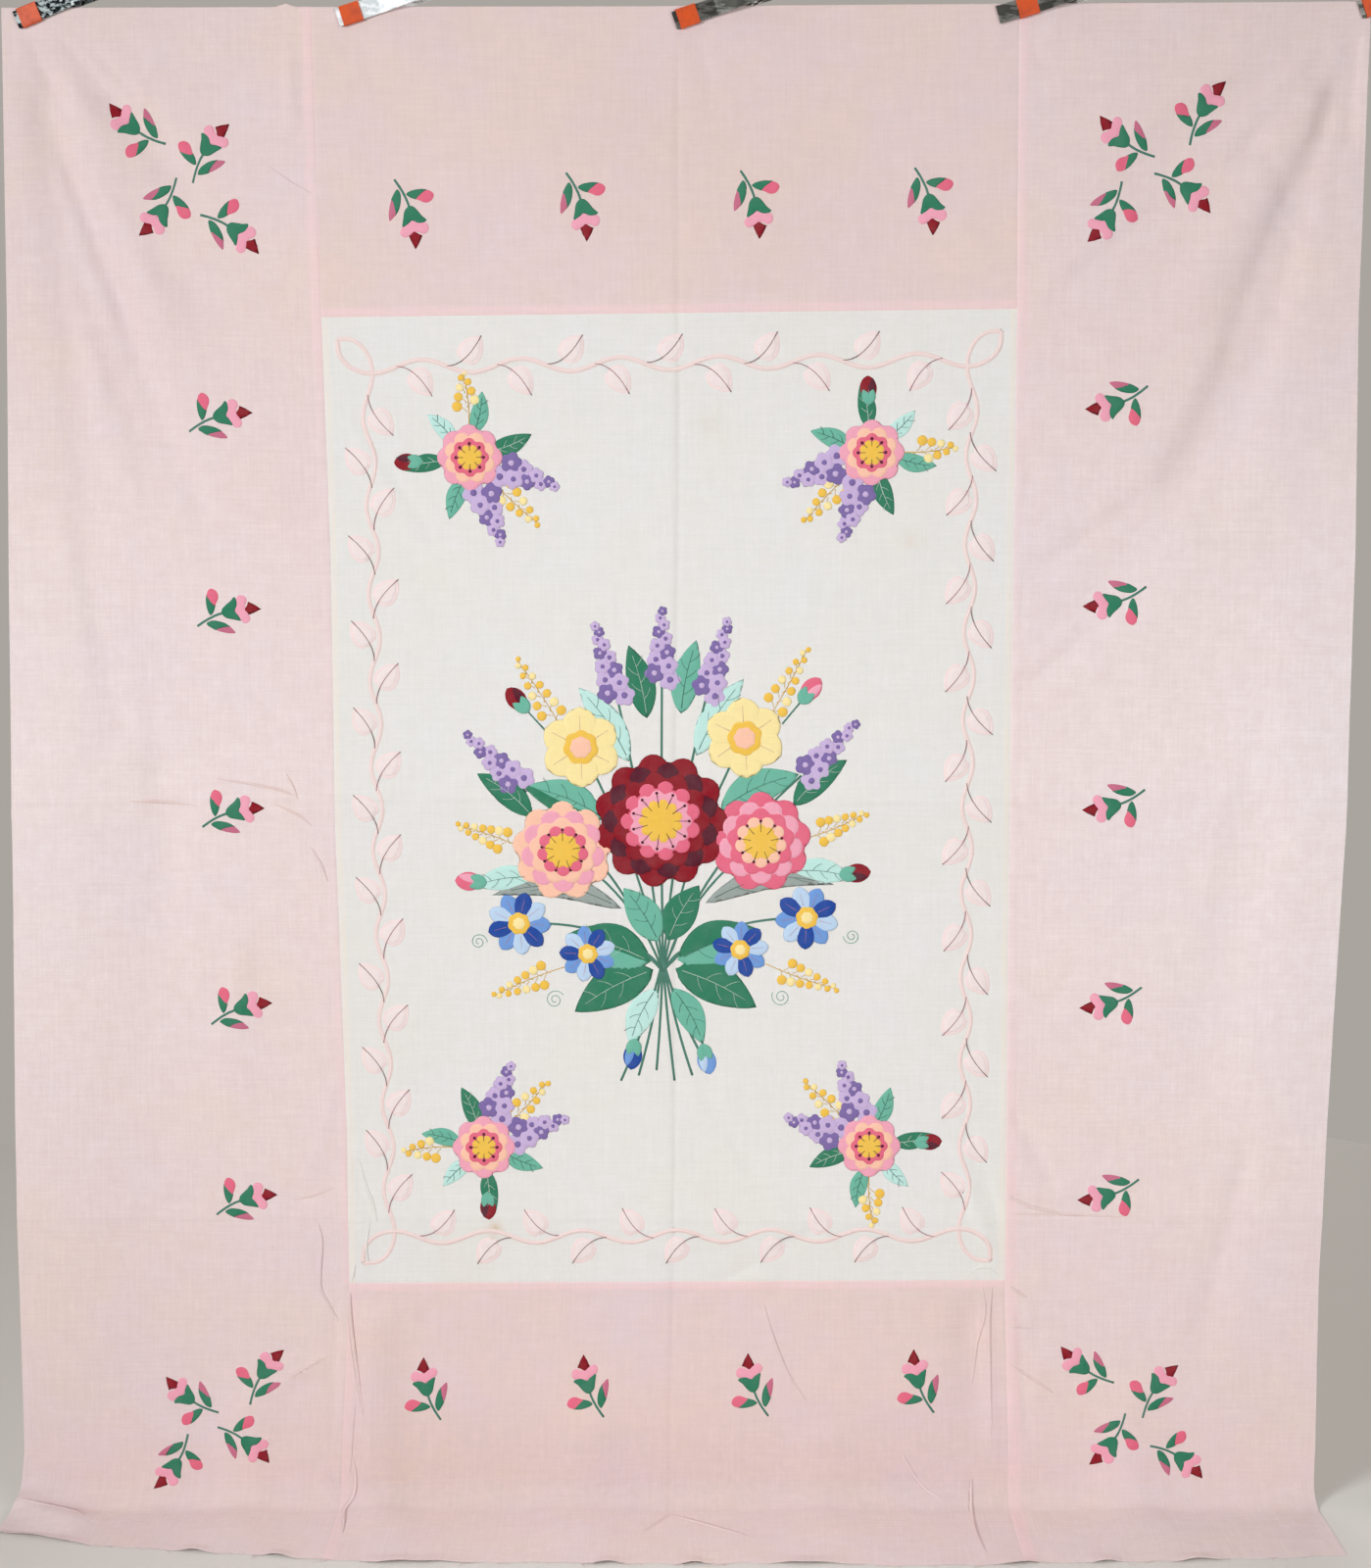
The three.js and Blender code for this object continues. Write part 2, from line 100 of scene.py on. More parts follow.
# Finer creases: small pulls at the clamps, storage folds, puckers beside the seams
CREASES = [Fold(*row) for row in (
    (-925, 24, -780, 150, 12, -3.4), (-960, 30, -905, 160, 12, -3), (984, 30, 930, 210, 15, -3),
    (966, 50, 900, 240, 18, 2.4), (-541, 8, -536, 190, 10, 3), (-440, 30, -405, 130, 11, -1.6),
    (40, 35, 75, 140, 11, -1.4), (500, 30, 560, 120, 11, -1.4), (985, 28, 915, 130, 12, -3.4),
    (986, 28, 978, 230, 11, -3), (-860, 300, -640, 420, 22, -2.2), (860, 180, 640, 330, 20, -2.4),
    (700, 690, 505, 830, 16, -2.6), (-470, 1885, -455, 2260, 11, 3.4), (-520, 1900, -510, 2240, 11, -2.4),
    (470, 1885, 480, 2270, 11, 3.4), (522, 1900, 535, 2250, 11, -2.6), (-620, 2050, -520, 1980, 12, 2.6),
    (500, 1740, 640, 1780, 12, -2.4), (430, 1690, 492, 1860, 10, 2.4), (445, 1640, 497, 1800, 9, -2.2),
    (505, 1600, 590, 1750, 12, -2.6), (-490, 1680, -440, 1850, 11, -2.2), (-512, 1560, -570, 1740, 12, 2),
    (-860, 2060, -700, 2170, 15, 2.4), (880, 1650, 800, 2050, 26, -3), (-650, 1300, -690, 1680, 34, 3),
)]
# Fan of folds below the two outer clamps and a few others, high on the left of each line and low on its right
SHELVES = [Fold(*row) for row in (
    (-914, 17, -784, 135, 12, 2.6), (-860, 62, -722, 198, 16, 2.0), (-943, 74, -790, 345, 22, 2.8),
    (-925, 190, -800, 485, 22, 3.2), (-853, 362, -683, 800, 28, 3.4), (-899, 348, -825, 610, 20, 1.8),
    (-910, 700, -840, 1080, 28, 2.2), (-800, 900, -770, 1380, 34, 1.6), (964, 47, 860, 335, 18, 1.8),
    (890, 235, 770, 560, 28, 2.0), (815, 460, 690, 720, 34, 2.2), (947, 47, 770, 255, 20, 2.4),
    (940, 140, 850, 480, 24, 1.8), (975, 60, 930, 420, 22, 1.8), (955, 35, 640, 190, 18, 2.0),
    (880, 380, 745, 860, 34, 1.6), (870, 40, 800, 100, 13, 1.6), (670, 92, 500, 162, 18, 1.6),
    (690, 282, 530, 415, 20, 2.0), (610, 890, 505, 975, 17, 2.0), (866, 280, 915, 335, 10, -1.2),
    (860, 980, 790, 1420, 36, 1.0), (-470, 560, -330, 800, 16, 1.8), (20, 1560, 130, 1740, 15, 1.8),
    (512, 2195, 560, 2300, 18, 2.2),
)]
SHELF_SLOPE = 1.65
# A fold is narrower where it starts and fades in and out, in shares of its length
FOLD_NARROW = 0.6
FOLD_STARTS = 0.12
FOLD_ENDS = 0.3
# Drops from which folds and finer creases leave the clamped edge, and where they are in full
CLAMPED = (40, 130)
CREASES_START = (30, 75)
# How far above the bend at the floor troughs start to fade
TROUGHS_FADE = 150
# The pucker in the top edge at the left seam
PUCKER = -541
PUCKER_RISE = 5
PUCKER_WIDTH = 9
PUCKER_FADES = 60

# Faint wrinkles all over: how many, and the spread of their places and sizes
WRINKLES = 90
WRINKLES_ACROSS = (-960, 960)
WRINKLES_DROP = (120, 2150)
WRINKLE_LENGTHS = (70, 260)
WRINKLE_WIDTHS = (10, 24)
WRINKLE_HEIGHTS = (-1.4, 1.4)
WRINKLES_ON_WHITE = 0.45

# The cross seams run askew: how much, and the drops where that starts, is in full, fades and ends
SEAM_TILT = 6
TILT_RUN = (200, WHITE_TOP, 700, 1500)
SEAM_SAG = 6.5
SAG_RUN = (1300, WHITE_BOTTOM, 1900, 2250)
# How far across that reaches
TILT_ENDS = 800
# Relief beside a seam
SEAM_DIP = 0.3
SEAM_DIP_WIDTH = 2.2
SEAM_STEP = 0.3
SEAM_PUCKER = 0.4

# Creases from storage: one down the middle, from top to bottom, and two across
STORAGE_TOP, STORAGE_BOTTOM = 18, -14
STORAGE_STARTS = (20, 120)
STORAGE_DROPS = (1144, 1779)
STORAGE_DEPTH = 0.9
STORAGE_WIDTH = 4.5
STORAGE_KINK = 4
KINK_REACH = 70
CROSS_DEPTH = 0.7 * STORAGE_DEPTH
WAVER = 4
WAVER_LENGTH = 260


def smooth(x, low, high):
    t = np.clip((x - low) / (high - low), 0, 1)
    return t * t * (3 - 2 * t)


def plateau(x, starts, full, fades, ends):
    return smooth(x, starts, full) * (1 - smooth(x, fades, ends))


def small_wrinkles():
    """Seeded faint wrinkles all over, mostly on the pink borders."""
    rows = []
    for _ in range(WRINKLES):
        across = RNG.uniform(*WRINKLES_ACROSS)
        drop = RNG.uniform(*WRINKLES_DROP)
        on_white = abs(across) < HALF_CENTRE and WHITE_TOP < drop < WHITE_BOTTOM
        angle = RNG.uniform(-math.pi, math.pi)
        length = RNG.uniform(*WRINKLE_LENGTHS)
        to = (across + length * math.cos(angle), drop + length * math.sin(angle))
        width = RNG.uniform(*WRINKLE_WIDTHS)
        height = RNG.uniform(*WRINKLE_HEIGHTS) * (WRINKLES_ON_WHITE if on_white else 1)
        rows.append(Fold(across, drop, *to, width, height))
    return rows


def ridge(beside):
    return np.exp(-beside ** 2)


def shelf(beside):
    return -SHELF_SLOPE * beside * ridge(beside)


def fold_heights(folds, across, drop, section=ridge):
    total = np.zeros_like(across)
    for fold in folds:
        line = np.array([fold.to_across - fold.across, fold.to_drop - fold.drop], float)
        length = np.hypot(*line)
        du, dv = across - fold.across, drop - fold.drop
        share = (du * line[0] + dv * line[1]) / length ** 2
        beside = (du * line[1] - dv * line[0]) / length
        width = fold.width * (FOLD_NARROW + (1 - FOLD_NARROW) * np.clip(share, 0, 1))
        total += fold.height * section(beside / width) * plateau(share, 0, FOLD_STARTS, 1 - FOLD_ENDS, 1)
    return total


def beside_storage(across, drop):
    """How far each place is from the crease down the middle."""
    return across - (STORAGE_TOP + (STORAGE_BOTTOM - STORAGE_TOP) * drop / END)


def below_storage(across, drop, place):
    """How far each place is below a crease that runs across, which wavers."""
    return drop - place - WAVER * np.sin(across / WAVER_LENGTH)


def storage_creases(across, drop):
    """Sharp lines left by years folded in a drawer."""
    middle = ridge(beside_storage(across, drop) / STORAGE_WIDTH)
    height = -STORAGE_DEPTH * middle * smooth(drop, *STORAGE_STARTS)
    for place in STORAGE_DROPS:
        below = below_storage(across, drop, place)
        kink = STORAGE_KINK * np.exp(-np.abs(below) / KINK_REACH)
        height += kink - CROSS_DEPTH * ridge(below / STORAGE_WIDTH)
    return height


def over_allowance(beside):
    """One over a seam allowance, zero beyond its edge."""
    return np.where(beside > 0, 1 - smooth(beside, ALLOWANCE - 2, ALLOWANCE + 2), 0)


def seam_height(across, drop):
    """A narrow puckered dip along each seam, and a low step where the seam allowance lies behind the pink."""
    centre = np.abs(across) < HALF_CENTRE
    beside = np.abs(across) - HALF_CENTRE
    dip, step = ridge(beside / SEAM_DIP_WIDTH), over_allowance(beside)
    for place, side in CROSS_SEAMS:
        below = side * (drop - place)
        dip = np.maximum(dip, np.where(centre, ridge(below / SEAM_DIP_WIDTH), 0))
        step = np.maximum(step, np.where(centre, over_allowance(below), 0))
    puckers = np.sin(drop / 5.1 + 1.7 * np.sin(drop / 37)) * np.sin(across / 5.7 + 0.6)
    return SEAM_STEP * step - SEAM_DIP * dip + SEAM_PUCKER * dip * puckers


FINE_FOLDS = CREASES + small_wrinkles()


def relief(across, drop):
    depth = np.abs(drop)
    total = fold_heights(FOLDS, across, depth) * smooth(depth, *CLAMPED)
    fine = fold_heights(FINE_FOLDS, across, depth) + fold_heights(SHELVES, across, depth, shelf)
    fine += storage_creases(across, depth)
    total += fine * smooth(depth, *CREASES_START)
    floor_near = smooth(depth, BEND_START - TROUGHS_FADE, BEND_START)
    total = np.where(total > 0, total, total * (1 - floor_near))
    return total + seam_height(across, depth)


def seam_tilt(across, drop):
    """The seam above the white panel rises a little to the right, the one below sags, most on the left."""
    share = np.clip(across / HALF_CENTRE, -1, 1)
    upper = SEAM_TILT * share * plateau(drop, *TILT_RUN)
    lower = SEAM_SAG * (0.65 - 0.35 * share) * plateau(drop, *SAG_RUN)
    return (1 - smooth(np.abs(across), HALF_CENTRE, TILT_ENDS)) * (upper - lower)


def hang_x(across, drop):
    lines = [np.interp(np.abs(drop), HANG[:, 0], HANG[:, k + 1]) for k in range(4)]
    x = np.zeros_like(across)
    for k in range(3):
        low, high = SEAM_LINES[k], SEAM_LINES[k + 1]
        within = (across >= low) & (across <= high)
        share = (across - low) / (high - low)
        x = np.where(within, lines[k] + (lines[k + 1] - lines[k]) * share, x)
    return x


def cut_drop(across, drop):
    """The cloth's own drop: shorter on the floor where the hem lies further back."""
    ripple = sum(height * np.sin(across / length + shift) for height, length, shift in HEM_RIPPLES)
    reach = np.interp(across, HEM[:, 0], HEM[:, 1]) + ripple
    share = (reach - BEND_RADIUS) / (FULL_REACH - BEND_RADIUS)
    return np.where(drop > FLOOR_START, FLOOR_START + (drop - FLOOR_START) * share, drop)


def top_rise(across, drop):
    """How the top edge departs from a level line, fading below it."""
    rise = np.interp(across, TOP_LINE[:, 0], TOP_LINE[:, 1]) * (1 - smooth(drop, 0, TOP_LINE_FADES))
    pucker = PUCKER_RISE * ridge((across - PUCKER) / PUCKER_WIDTH)
    return rise + pucker * (1 - smooth(np.abs(drop), 0, PUCKER_FADES))


def cloth_points(across, drop):
    """Middle of the cloth's thickness, in millimetres."""
    curl = HEM_CURL * np.clip(np.sin(across / 31 + 2 * np.sin(across / 97)), 0, 1) ** 2
    curl = curl * smooth(drop, END - HEM_CURLS_FROM, END)
    drop = cut_drop(across, drop)
    fold = np.clip(drop / FOLD_RADIUS, -math.pi / 2, math.pi / 2)
    bend = np.clip((drop - BEND_START) / BEND_RADIUS, 0, math.pi / 2)
    behind = np.minimum(drop + QUARTER_FOLD, 0)
    hung = np.clip(drop - QUARTER_FOLD, 0, BEND_START - QUARTER_FOLD)
    along = np.maximum(drop - FLOOR_START, 0)
    height = relief(across, drop) + curl
    y = FOLD_RADIUS * (1 - np.sin(fold)) + BEND_RADIUS * (np.cos(bend) - 1) - along
    z = FOLD_RADIUS * (np.cos(fold) - 1) + behind - hung - BEND_RADIUS * np.sin(bend)
    z += top_rise(across, drop) + seam_tilt(across, drop)
    return np.stack([hang_x(across, drop), y - np.cos(bend) * height, z + np.sin(bend) * height], -1)


def unit(vectors):
    return vectors / np.maximum(np.linalg.norm(vectors, axis=-1, keepdims=True), 1e-9)


def new_object(name, points, faces, materials, slots=None):
    """A smooth mesh object from points in millimetres."""
    mesh = bpy.data.meshes.new(name)
    mesh.from_pydata((np.asarray(points) * MM).tolist(), [], faces)
    for material in materials:
        mesh.materials.append(material)
    if slots is not None:
        mesh.polygons.foreach_set("material_index", np.asarray(slots, np.int32))
    mesh.shade_smooth()
    mesh.update()
    piece = bpy.data.objects.new(name, mesh)
    bpy.context.scene.collection.objects.link(piece)
    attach(piece, "root")
    return piece


def lay_uv(mesh, name, places):
    """UVs from one place for each point of the mesh."""
    loops = np.zeros(len(mesh.loops), np.int32)
    mesh.loops.foreach_get("vertex_index", loops)
    mesh.uv_layers.new(name=name).data.foreach_set("uv", places[loops].ravel())


def swept_faces(count, rings):
    """Faces of a closed section swept along a line of points, ring after ring, with both ends."""
    faces = []
    for k in range(count - 1):
        for ring in range(rings - 1):
            a, b = ring * count + k, (ring + 1) * count + k
            faces.append([a, b, b + 1, a + 1])
        last = (rings - 1) * count + k
        faces.append([k, k + 1, last + 1, last])
    faces.append([0] + [ring * count for ring in range(rings - 1, 0, -1)])
    faces.append([ring * count + count - 1 for ring in range(rings)])
    return faces


def turned_over(faces):
    return [[face[0]] + face[:0:-1] for face in faces]


# Materials
def linear(hex_colour):
    """An sRGB hex colour as linear RGBA."""
    parts = [int(hex_colour[k:k + 2], 16) / 255 for k in (0, 2, 4)]
    return [c / 12.92 if c <= 0.04045 else ((c + 0.055) / 1.055) ** 2.4 for c in parts] + [1.0]


def darker(hex_colour, share):
    return [share * c for c in linear(hex_colour)[:3]] + [1.0]


class Nodes:
    """A node tree and its main shader, with short ways to add and link nodes."""

    def __init__(self, tree, shader):
        self.tree = tree
        self.shader = tree.nodes[shader]

    def put(self, socket, value):
        if isinstance(value, bpy.types.NodeSocket):
            self.tree.links.new(value, socket)
        else:
            socket.default_value = value

    def add(self, kind, inputs=None, **settings):
        node = self.tree.nodes.new(kind)
        for key, value in settings.items():
            setattr(node, key, value)
        for key, value in (inputs or {}).items():
            self.put(node.inputs[key], value)
        return node

    def set(self, **values):
        for key, value in values.items():
            self.put(self.shader.inputs[key.replace("_", " ")], value)

    def place(self):
        return self.add("ShaderNodeTexCoord").outputs["Object"]

    def noise(self, vector, scale=1.0, detail=3.0, roughness=0.55):
        inputs = {"Vector": vector, "Scale": scale, "Detail": detail, "Roughness": roughness}
        return self.add("ShaderNodeTexNoise", inputs).outputs["Fac"]

    def stretched(self, vector, scale):
        return self.add("ShaderNodeMapping", {"Vector": vector, "Scale": scale}).outputs["Vector"]

    def math(self, operation, a, b):
        return self.add("ShaderNodeMath", {0: a, 1: b}, operation=operation).outputs[0]

    def ranged(self, value, low, high, to_low=0.0, to_high=1.0):
        inputs = {"Value": value, "From Min": low, "From Max": high, "To Min": to_low, "To Max": to_high}
        return self.add("ShaderNodeMapRange", inputs).outputs["Result"]

    def mix(self, factor, a, b):
        return self.add("ShaderNodeMix", {0: factor, 6: a, 7: b}, data_type="RGBA").outputs[2]

    def painted(self, name):
        """A value painted on the mesh."""
        return self.add("ShaderNodeAttribute", attribute_name=name).outputs["Fac"]

    def bump(self, height, strength, distance):
        inputs = {"Height": height, "Strength": strength, "Distance": distance}
        return self.add("ShaderNodeBump", inputs).outputs["Normal"]

    def weave(self, vector, pitch, run=0.016):
        """Height of a plain weave: uneven threads both ways, each thick or thin for a run of its length."""
        across = self.noise(self.stretched(vector, (1 / pitch, 1 / run, 1 / run)), detail=2.0)
        down = self.noise(self.stretched(vector, (1 / run, 1 / pitch, 1 / pitch)), detail=2.0)
        return self.math("ADD", across, down)


class Finish(Nodes):
    """A material and its shader."""

    def __init__(self, name):
        self.material = bpy.data.materials.new(name)
        self.material.use_nodes = True
        super().__init__(self.material.node_tree, "Principled BSDF")


THREAD_PITCH = 0.0011
# Slubs and uneven threads: pitch of the weave and length of each run, in metres
SLUBS = (0.0042, 0.09)
UNEVEN = (0.0035, 0.07)
STAIN_TAN = "cdab84"
# Grey of the soil and painted shade along the storage creases, and of the painted shade at the bend and low
# in the middle
SOIL_SHADE_GREY = "8f8680"


def panel_cotton(name, pale, deep, shade, pale_tone, band):
    """Plain-weave cotton: mottled and slubbed, paler where faded and where light is painted, with
    seam-allowance bands, soil and painted shade along folds, painted shade at the bend, and stains.
    """
    nodes = Finish(name)
    flat = nodes.add("ShaderNodeUVMap", uv_map="flat").outputs["UV"]
    mottle = nodes.ranged(nodes.noise(flat, 4.5, 6.0, 0.68), 0.33, 0.67)
    colour = nodes.mix(mottle, linear(pale), linear(deep))
    # Paler where the cloth has faded and where light is painted
    colour = nodes.mix(nodes.painted("fade_and_light"), colour, linear(pale_tone))
    threads = nodes.weave(flat, THREAD_PITCH)
    slubs = nodes.ranged(nodes.math("ADD", threads, nodes.weave(flat, *SLUBS)), 1.6, 2.4, 0.0, 0.52)
    muted = nodes.ranged(nodes.painted("fade_and_light"), 0.0, 1.0, 1.0, 0.5)
    blotches = nodes.ranged(nodes.noise(flat, 40.0, 6.0, 0.7), 0.35, 0.7, 0.0, 0.3)
    for factor in (nodes.math("MULTIPLY", slubs, muted), blotches):
        colour = nodes.mix(factor, colour, linear(shade))
    uneven = nodes.ranged(nodes.weave(flat, *UNEVEN), 0.8, 1.2, 0.35, 0.95)
    broken = nodes.ranged(nodes.noise(flat, 90.0), 0.3, 0.7, 0.55, 1.0)
    # Seam-allowance bands, stains, and soil with painted shade, each broken up by noise
    layers = (("band", uneven, band), ("stain", broken, STAIN_TAN), ("soil_and_shade", broken, SOIL_SHADE_GREY))
    for painted, breaks, tone in layers:
        colour = nodes.mix(nodes.math("MULTIPLY", nodes.painted(painted), breaks), colour, linear(tone))
    nodes.set(Base_Color=colour, Roughness=0.92, Specular_IOR_Level=0.25)
    nodes.set(Normal=nodes.bump(threads, 0.18, 0.0005))
    return nodes.material


def patch_cotton(name, colour):
    """Plain dyed cotton of an applique patch, a little faded in places."""
    nodes = Finish(name)
    place = nodes.place()
    pale_tone = [0.93 * c + 0.07 * w for c, w in zip(linear(colour), (0.8, 0.78, 0.76, 1.0))]
    wear = nodes.ranged(nodes.noise(place, 38.0), 0.35, 0.75, 0.0, 0.6)
    threads = nodes.weave(place, THREAD_PITCH)
    shade = nodes.ranged(threads, 0.75, 1.25, 0.0, 0.3)
    tone = nodes.mix(shade, nodes.mix(wear, linear(colour), pale_tone), darker(colour, 0.8))
    nodes.set(Base_Color=tone, Roughness=0.9, Specular_IOR_Level=0.25)
    nodes.set(Normal=nodes.bump(threads, 0.25, 0.0005))
    return nodes.material


def thread_cotton(name, colour):
    """Twisted embroidery cotton with a slight shine."""
    nodes = Finish(name)
    ply = nodes.noise(nodes.place(), 700.0, 2.0)
    tone = nodes.mix(nodes.ranged(ply, 0.35, 0.65), linear(colour), darker(colour, 0.6))
    nodes.set(Base_Color=tone, Roughness=0.6, Normal=nodes.bump(ply, 0.4, 0.0006))
    return nodes.material


def plated_steel(name, grain, tones, metal, rough):
    """Bright plating with painted reflections: soft patches of dark and light in its colour and roughness,
    with fine brushing.
    """
    nodes = Finish(name)
    place = nodes.place()
    reflection_patches = nodes.noise(nodes.stretched(place, grain), roughness=0.6)
    brush = nodes.noise(nodes.stretched(place, (90, 90, 900)), detail=2.0)
    tone = nodes.mix(nodes.ranged(reflection_patches, 0.44, 0.56), linear(tones[0]), linear(tones[1]))
    nodes.set(Base_Color=tone, Metallic=metal, Roughness=nodes.ranged(reflection_patches, 0.3, 0.7, rough, 2 * rough))
    nodes.set(Normal=nodes.bump(brush, 0.06, 0.0004))
    return nodes.material


def dipped_vinyl():
    """Soft orange vinyl, rubbed paler and grubbier in places."""
    nodes = Finish("orange_vinyl")
    place = nodes.place()
    rub = nodes.noise(place, 70.0, 4.0)
    tone = nodes.mix(nodes.ranged(rub, 0.38, 0.75), linear("dc541a"), linear("ba4316"))
    nodes.set(Base_Color=tone, Roughness=nodes.ranged(rub, 0.3, 0.7, 0.32, 0.55), Coat_Weight=0.08)
    nodes.set(Normal=nodes.bump(nodes.noise(place, 420.0), 0.15, 0.0006))
    return nodes.material


# Tones of the two cloths: pale and deep mottling, shade, the pale tone of fading and painted light, and over
# a seam allowance
TONES = {
    "pink_cotton": ("e4ced3", "e8cfc3", "d6bfba", "f6edee", "f2ced0"),
    "white_cotton": ("e7e4e3", "e7e2db", "d9d5cf", "e8e6e3", "ecdfd0"),
}
PATCH_COLOURS = {
    "dark_green": "2f7a5c", "mid_green": "6cb39c", "mint": "bfe4db", "stem_green": "487a69", "grey": "9aa39e",
    "dark_red": "8b0f1f", "maroon": "571528", "hot_pink": "e46982", "rose": "c76c86", "light_pink": "f0a3b6",
    "peach": "f9c3a8", "yellow": "f8e2a0", "gold": "f0c04c", "lavender": "c8b0d6", "purple": "7d68a2",
    "cobalt": "21489a", "blue": "6f99d6", "pale_blue": "bcd2ea", "vine_pink": "ecd3cd", "leaf_pink": "f1dbd8",
    "pale_leaf": "efdfdc",
}
THREAD_COLOURS = {
    "vein_brown": "927673", "vein_green": "3c6c5c", "vein_dark": "4a2c30", "gold_thread": "dcae45",
    "pale_thread": "cfe0d0", "pink_thread": "c9899a", "mauve_thread": "b4868b", "green_thread": "7fae98",
}
MATERIALS = {}
for cloth, tones in TONES.items():
    for name in (cloth, cloth + "_back"):
        MATERIALS[name] = panel_cotton(name, *tones)
MATERIALS.update({name: patch_cotton(name, colour) for name, colour in PATCH_COLOURS.items()})
MATERIALS.update({name: thread_cotton(name, colour) for name, colour in THREAD_COLOURS.items()})


# Cloth panels: closer grid lines beside a seam, round a crease and round the turned-over top
BESIDE_SEAM = np.array([0, 1.2, 2.6, 4.5, 7, 10.5, 13, 15.5])
BESIDE_BOTH = np.concatenate([-BESIDE_SEAM, BESIDE_SEAM])
ROUND_CREASE = np.arange(-27, 28, 3)
ROUND_TOP = np.linspace(-QUARTER_FOLD, QUARTER_FOLD, 9)
# Usual and least distance of grid lines
PITCH = 8
CLOSEST = 0.3
SHARP_ANGLE = math.radians(60)
# A panel's front and back side by side on the sheet for baked colours: size, and where each starts
BAKE_SIZE = (0.48, 0.98)
BAKE_STARTS = ((0.01, 0.01), (0.51, 0.01))


def spaced(low, high, near):
    """Grid lines from low to high, with closer ones around the places named."""
    count = max(2, round((high - low) / PITCH))
    lines = [np.linspace(low, high, count + 1)] + [place + offsets for place, offsets in near]
    every = np.unique(np.round(np.concatenate(lines), 3))
    every = every[(every >= low) & (every <= high)]
    return every[np.concatenate([[True], np.diff(every) > CLOSEST])]


class Panel:
    """One cut piece of cloth: its grid on the flat, where that hangs, and its object."""

    def __init__(self, node, across, drop, slot):
        self.node, self.slot = node, slot
        self.size = (across[1] - across[0], drop[1] - drop[0])
        near_columns = [(across[0], BESIDE_SEAM), (across[1], -BESIDE_SEAM)]
        if across[0] < 0 < across[1]:
            near_columns.append((0, ROUND_CREASE))
        near_rows = [(place, BESIDE_BOTH) for place, _ in CROSS_SEAMS]
        near_rows += [(place, ROUND_CREASE) for place in STORAGE_DROPS]
        self.columns = spaced(*across, near_columns)
        self.rows = spaced(*drop, near_rows + [(0, ROUND_TOP)])
        self.across, self.drop = np.meshgrid(self.columns, self.rows)
        self.points = cloth_points(self.across, self.drop)
        down, right = np.gradient(self.points, axis=(0, 1))
        self.normals = unit(np.cross(down, right))
        self.piece = self.build()
        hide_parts(node)

    def build(self):
        rows, columns = self.across.shape
        count = rows * columns
        sides = [self.points + side * HALF_CLOTH * self.normals for side in (1, -1)]
        points = np.concatenate(sides).reshape(-1, 3)
        index = np.arange(count).reshape(rows, columns)
        a, b, c, d = index[:-1, :-1], index[:-1, 1:], index[1:, :-1], index[1:, 1:]
        face = np.stack([a, c, d, b], -1).reshape(-1, 4)
        reverse = np.stack([a, b, d, c], -1).reshape(-1, 4) + count
        rim = np.concatenate([index[0], index[1:, -1], index[-1, -2::-1], index[-2:0:-1, 0]])
        following = np.roll(rim, -1)
        wall = np.stack([rim, following, following + count, rim + count], -1)
        faces = np.concatenate([face, reverse, wall])
        slots = np.repeat([0, 1, 0], [len(face), len(reverse), len(wall)])
        materials = [MATERIALS[self.slot], MATERIALS[self.slot + "_back"]]
        piece = new_object(self.node + "_cloth", points, faces.tolist(), materials, slots)
        piece.data.set_sharp_from_angle(angle=SHARP_ANGLE)
        self.paint(piece.data)
        return piece

    def paint(self, mesh):
        """Flat places as UVs, the seam-allowance bands, the stains, the soil and painted shade, and the
        fading and painted light.
        """
        flat = np.stack([self.across.ravel(), self.drop.ravel()], -1)
        lay_uv(mesh, "flat", np.concatenate([flat, flat]) * MM)
        low, high = flat.min(0), flat.max(0)
        share = (flat - low) / (high - low)
        lay_uv(mesh, "OFBake", np.concatenate([share * BAKE_SIZE + start for start in BAKE_STARTS]))
        for name, painted in (("band", bands), ("stain", stains), ("soil_and_shade", soil_and_shade), ("fade_and_light", fade_and_light)):
            attribute = mesh.attributes.new(name, "FLOAT", "POINT")
            values = painted(*flat.T)
            attribute.data.foreach_set("value", np.concatenate([values, values]).astype(np.float32))

    def at(self, across, drop, height):
        """Places on the panel, a height off the middle of the cloth."""
        across, drop = np.asarray(across, float), np.asarray(drop, float)
        i = np.clip(np.searchsorted(self.columns, across) - 1, 0, len(self.columns) - 2)
        j = np.clip(np.searchsorted(self.rows, drop) - 1, 0, len(self.rows) - 2)
        s = ((across - self.columns[i]) / (self.columns[i + 1] - self.columns[i]))[..., None]
        t = ((drop - self.rows[j]) / (self.rows[j + 1] - self.rows[j]))[..., None]

        def blended(grid):
            upper = grid[j, i] * (1 - s) + grid[j, i + 1] * s
            lower = grid[j + 1, i] * (1 - s) + grid[j + 1, i + 1] * s
            return upper * (1 - t) + lower * t

        return blended(self.points) + unit(blended(self.normals)) * np.asarray(height)[..., None]


# How wide and how strongly the side panels' seam allowances show through, down the left and the right seam
BAND_DROPS = (0, 450, 620, 1300, 1500, 1850, 2100, 2420)
BAND_LEFT = (19, 18, 14, 12, 13, 13, 15, 17)
BAND_RIGHT = (16, 17, 15, 15, 16, 19, 24, 22)
SHOWS_LEFT = (0.65, 0.6, 0.1, 0.1, 0.4, 0.45, 0.5, 0.5)
SHOWS_RIGHT = (0.7, 0.65, 0.1, 0.1, 0.4, 0.6, 0.75, 0.7)
# The same for the cross seams, and for the warm edge of the white panel
SHOWS_ACROSS = 0.7
SHOWS_ON_WHITE = 0.6
SEAM_OVERLAP = 0.5


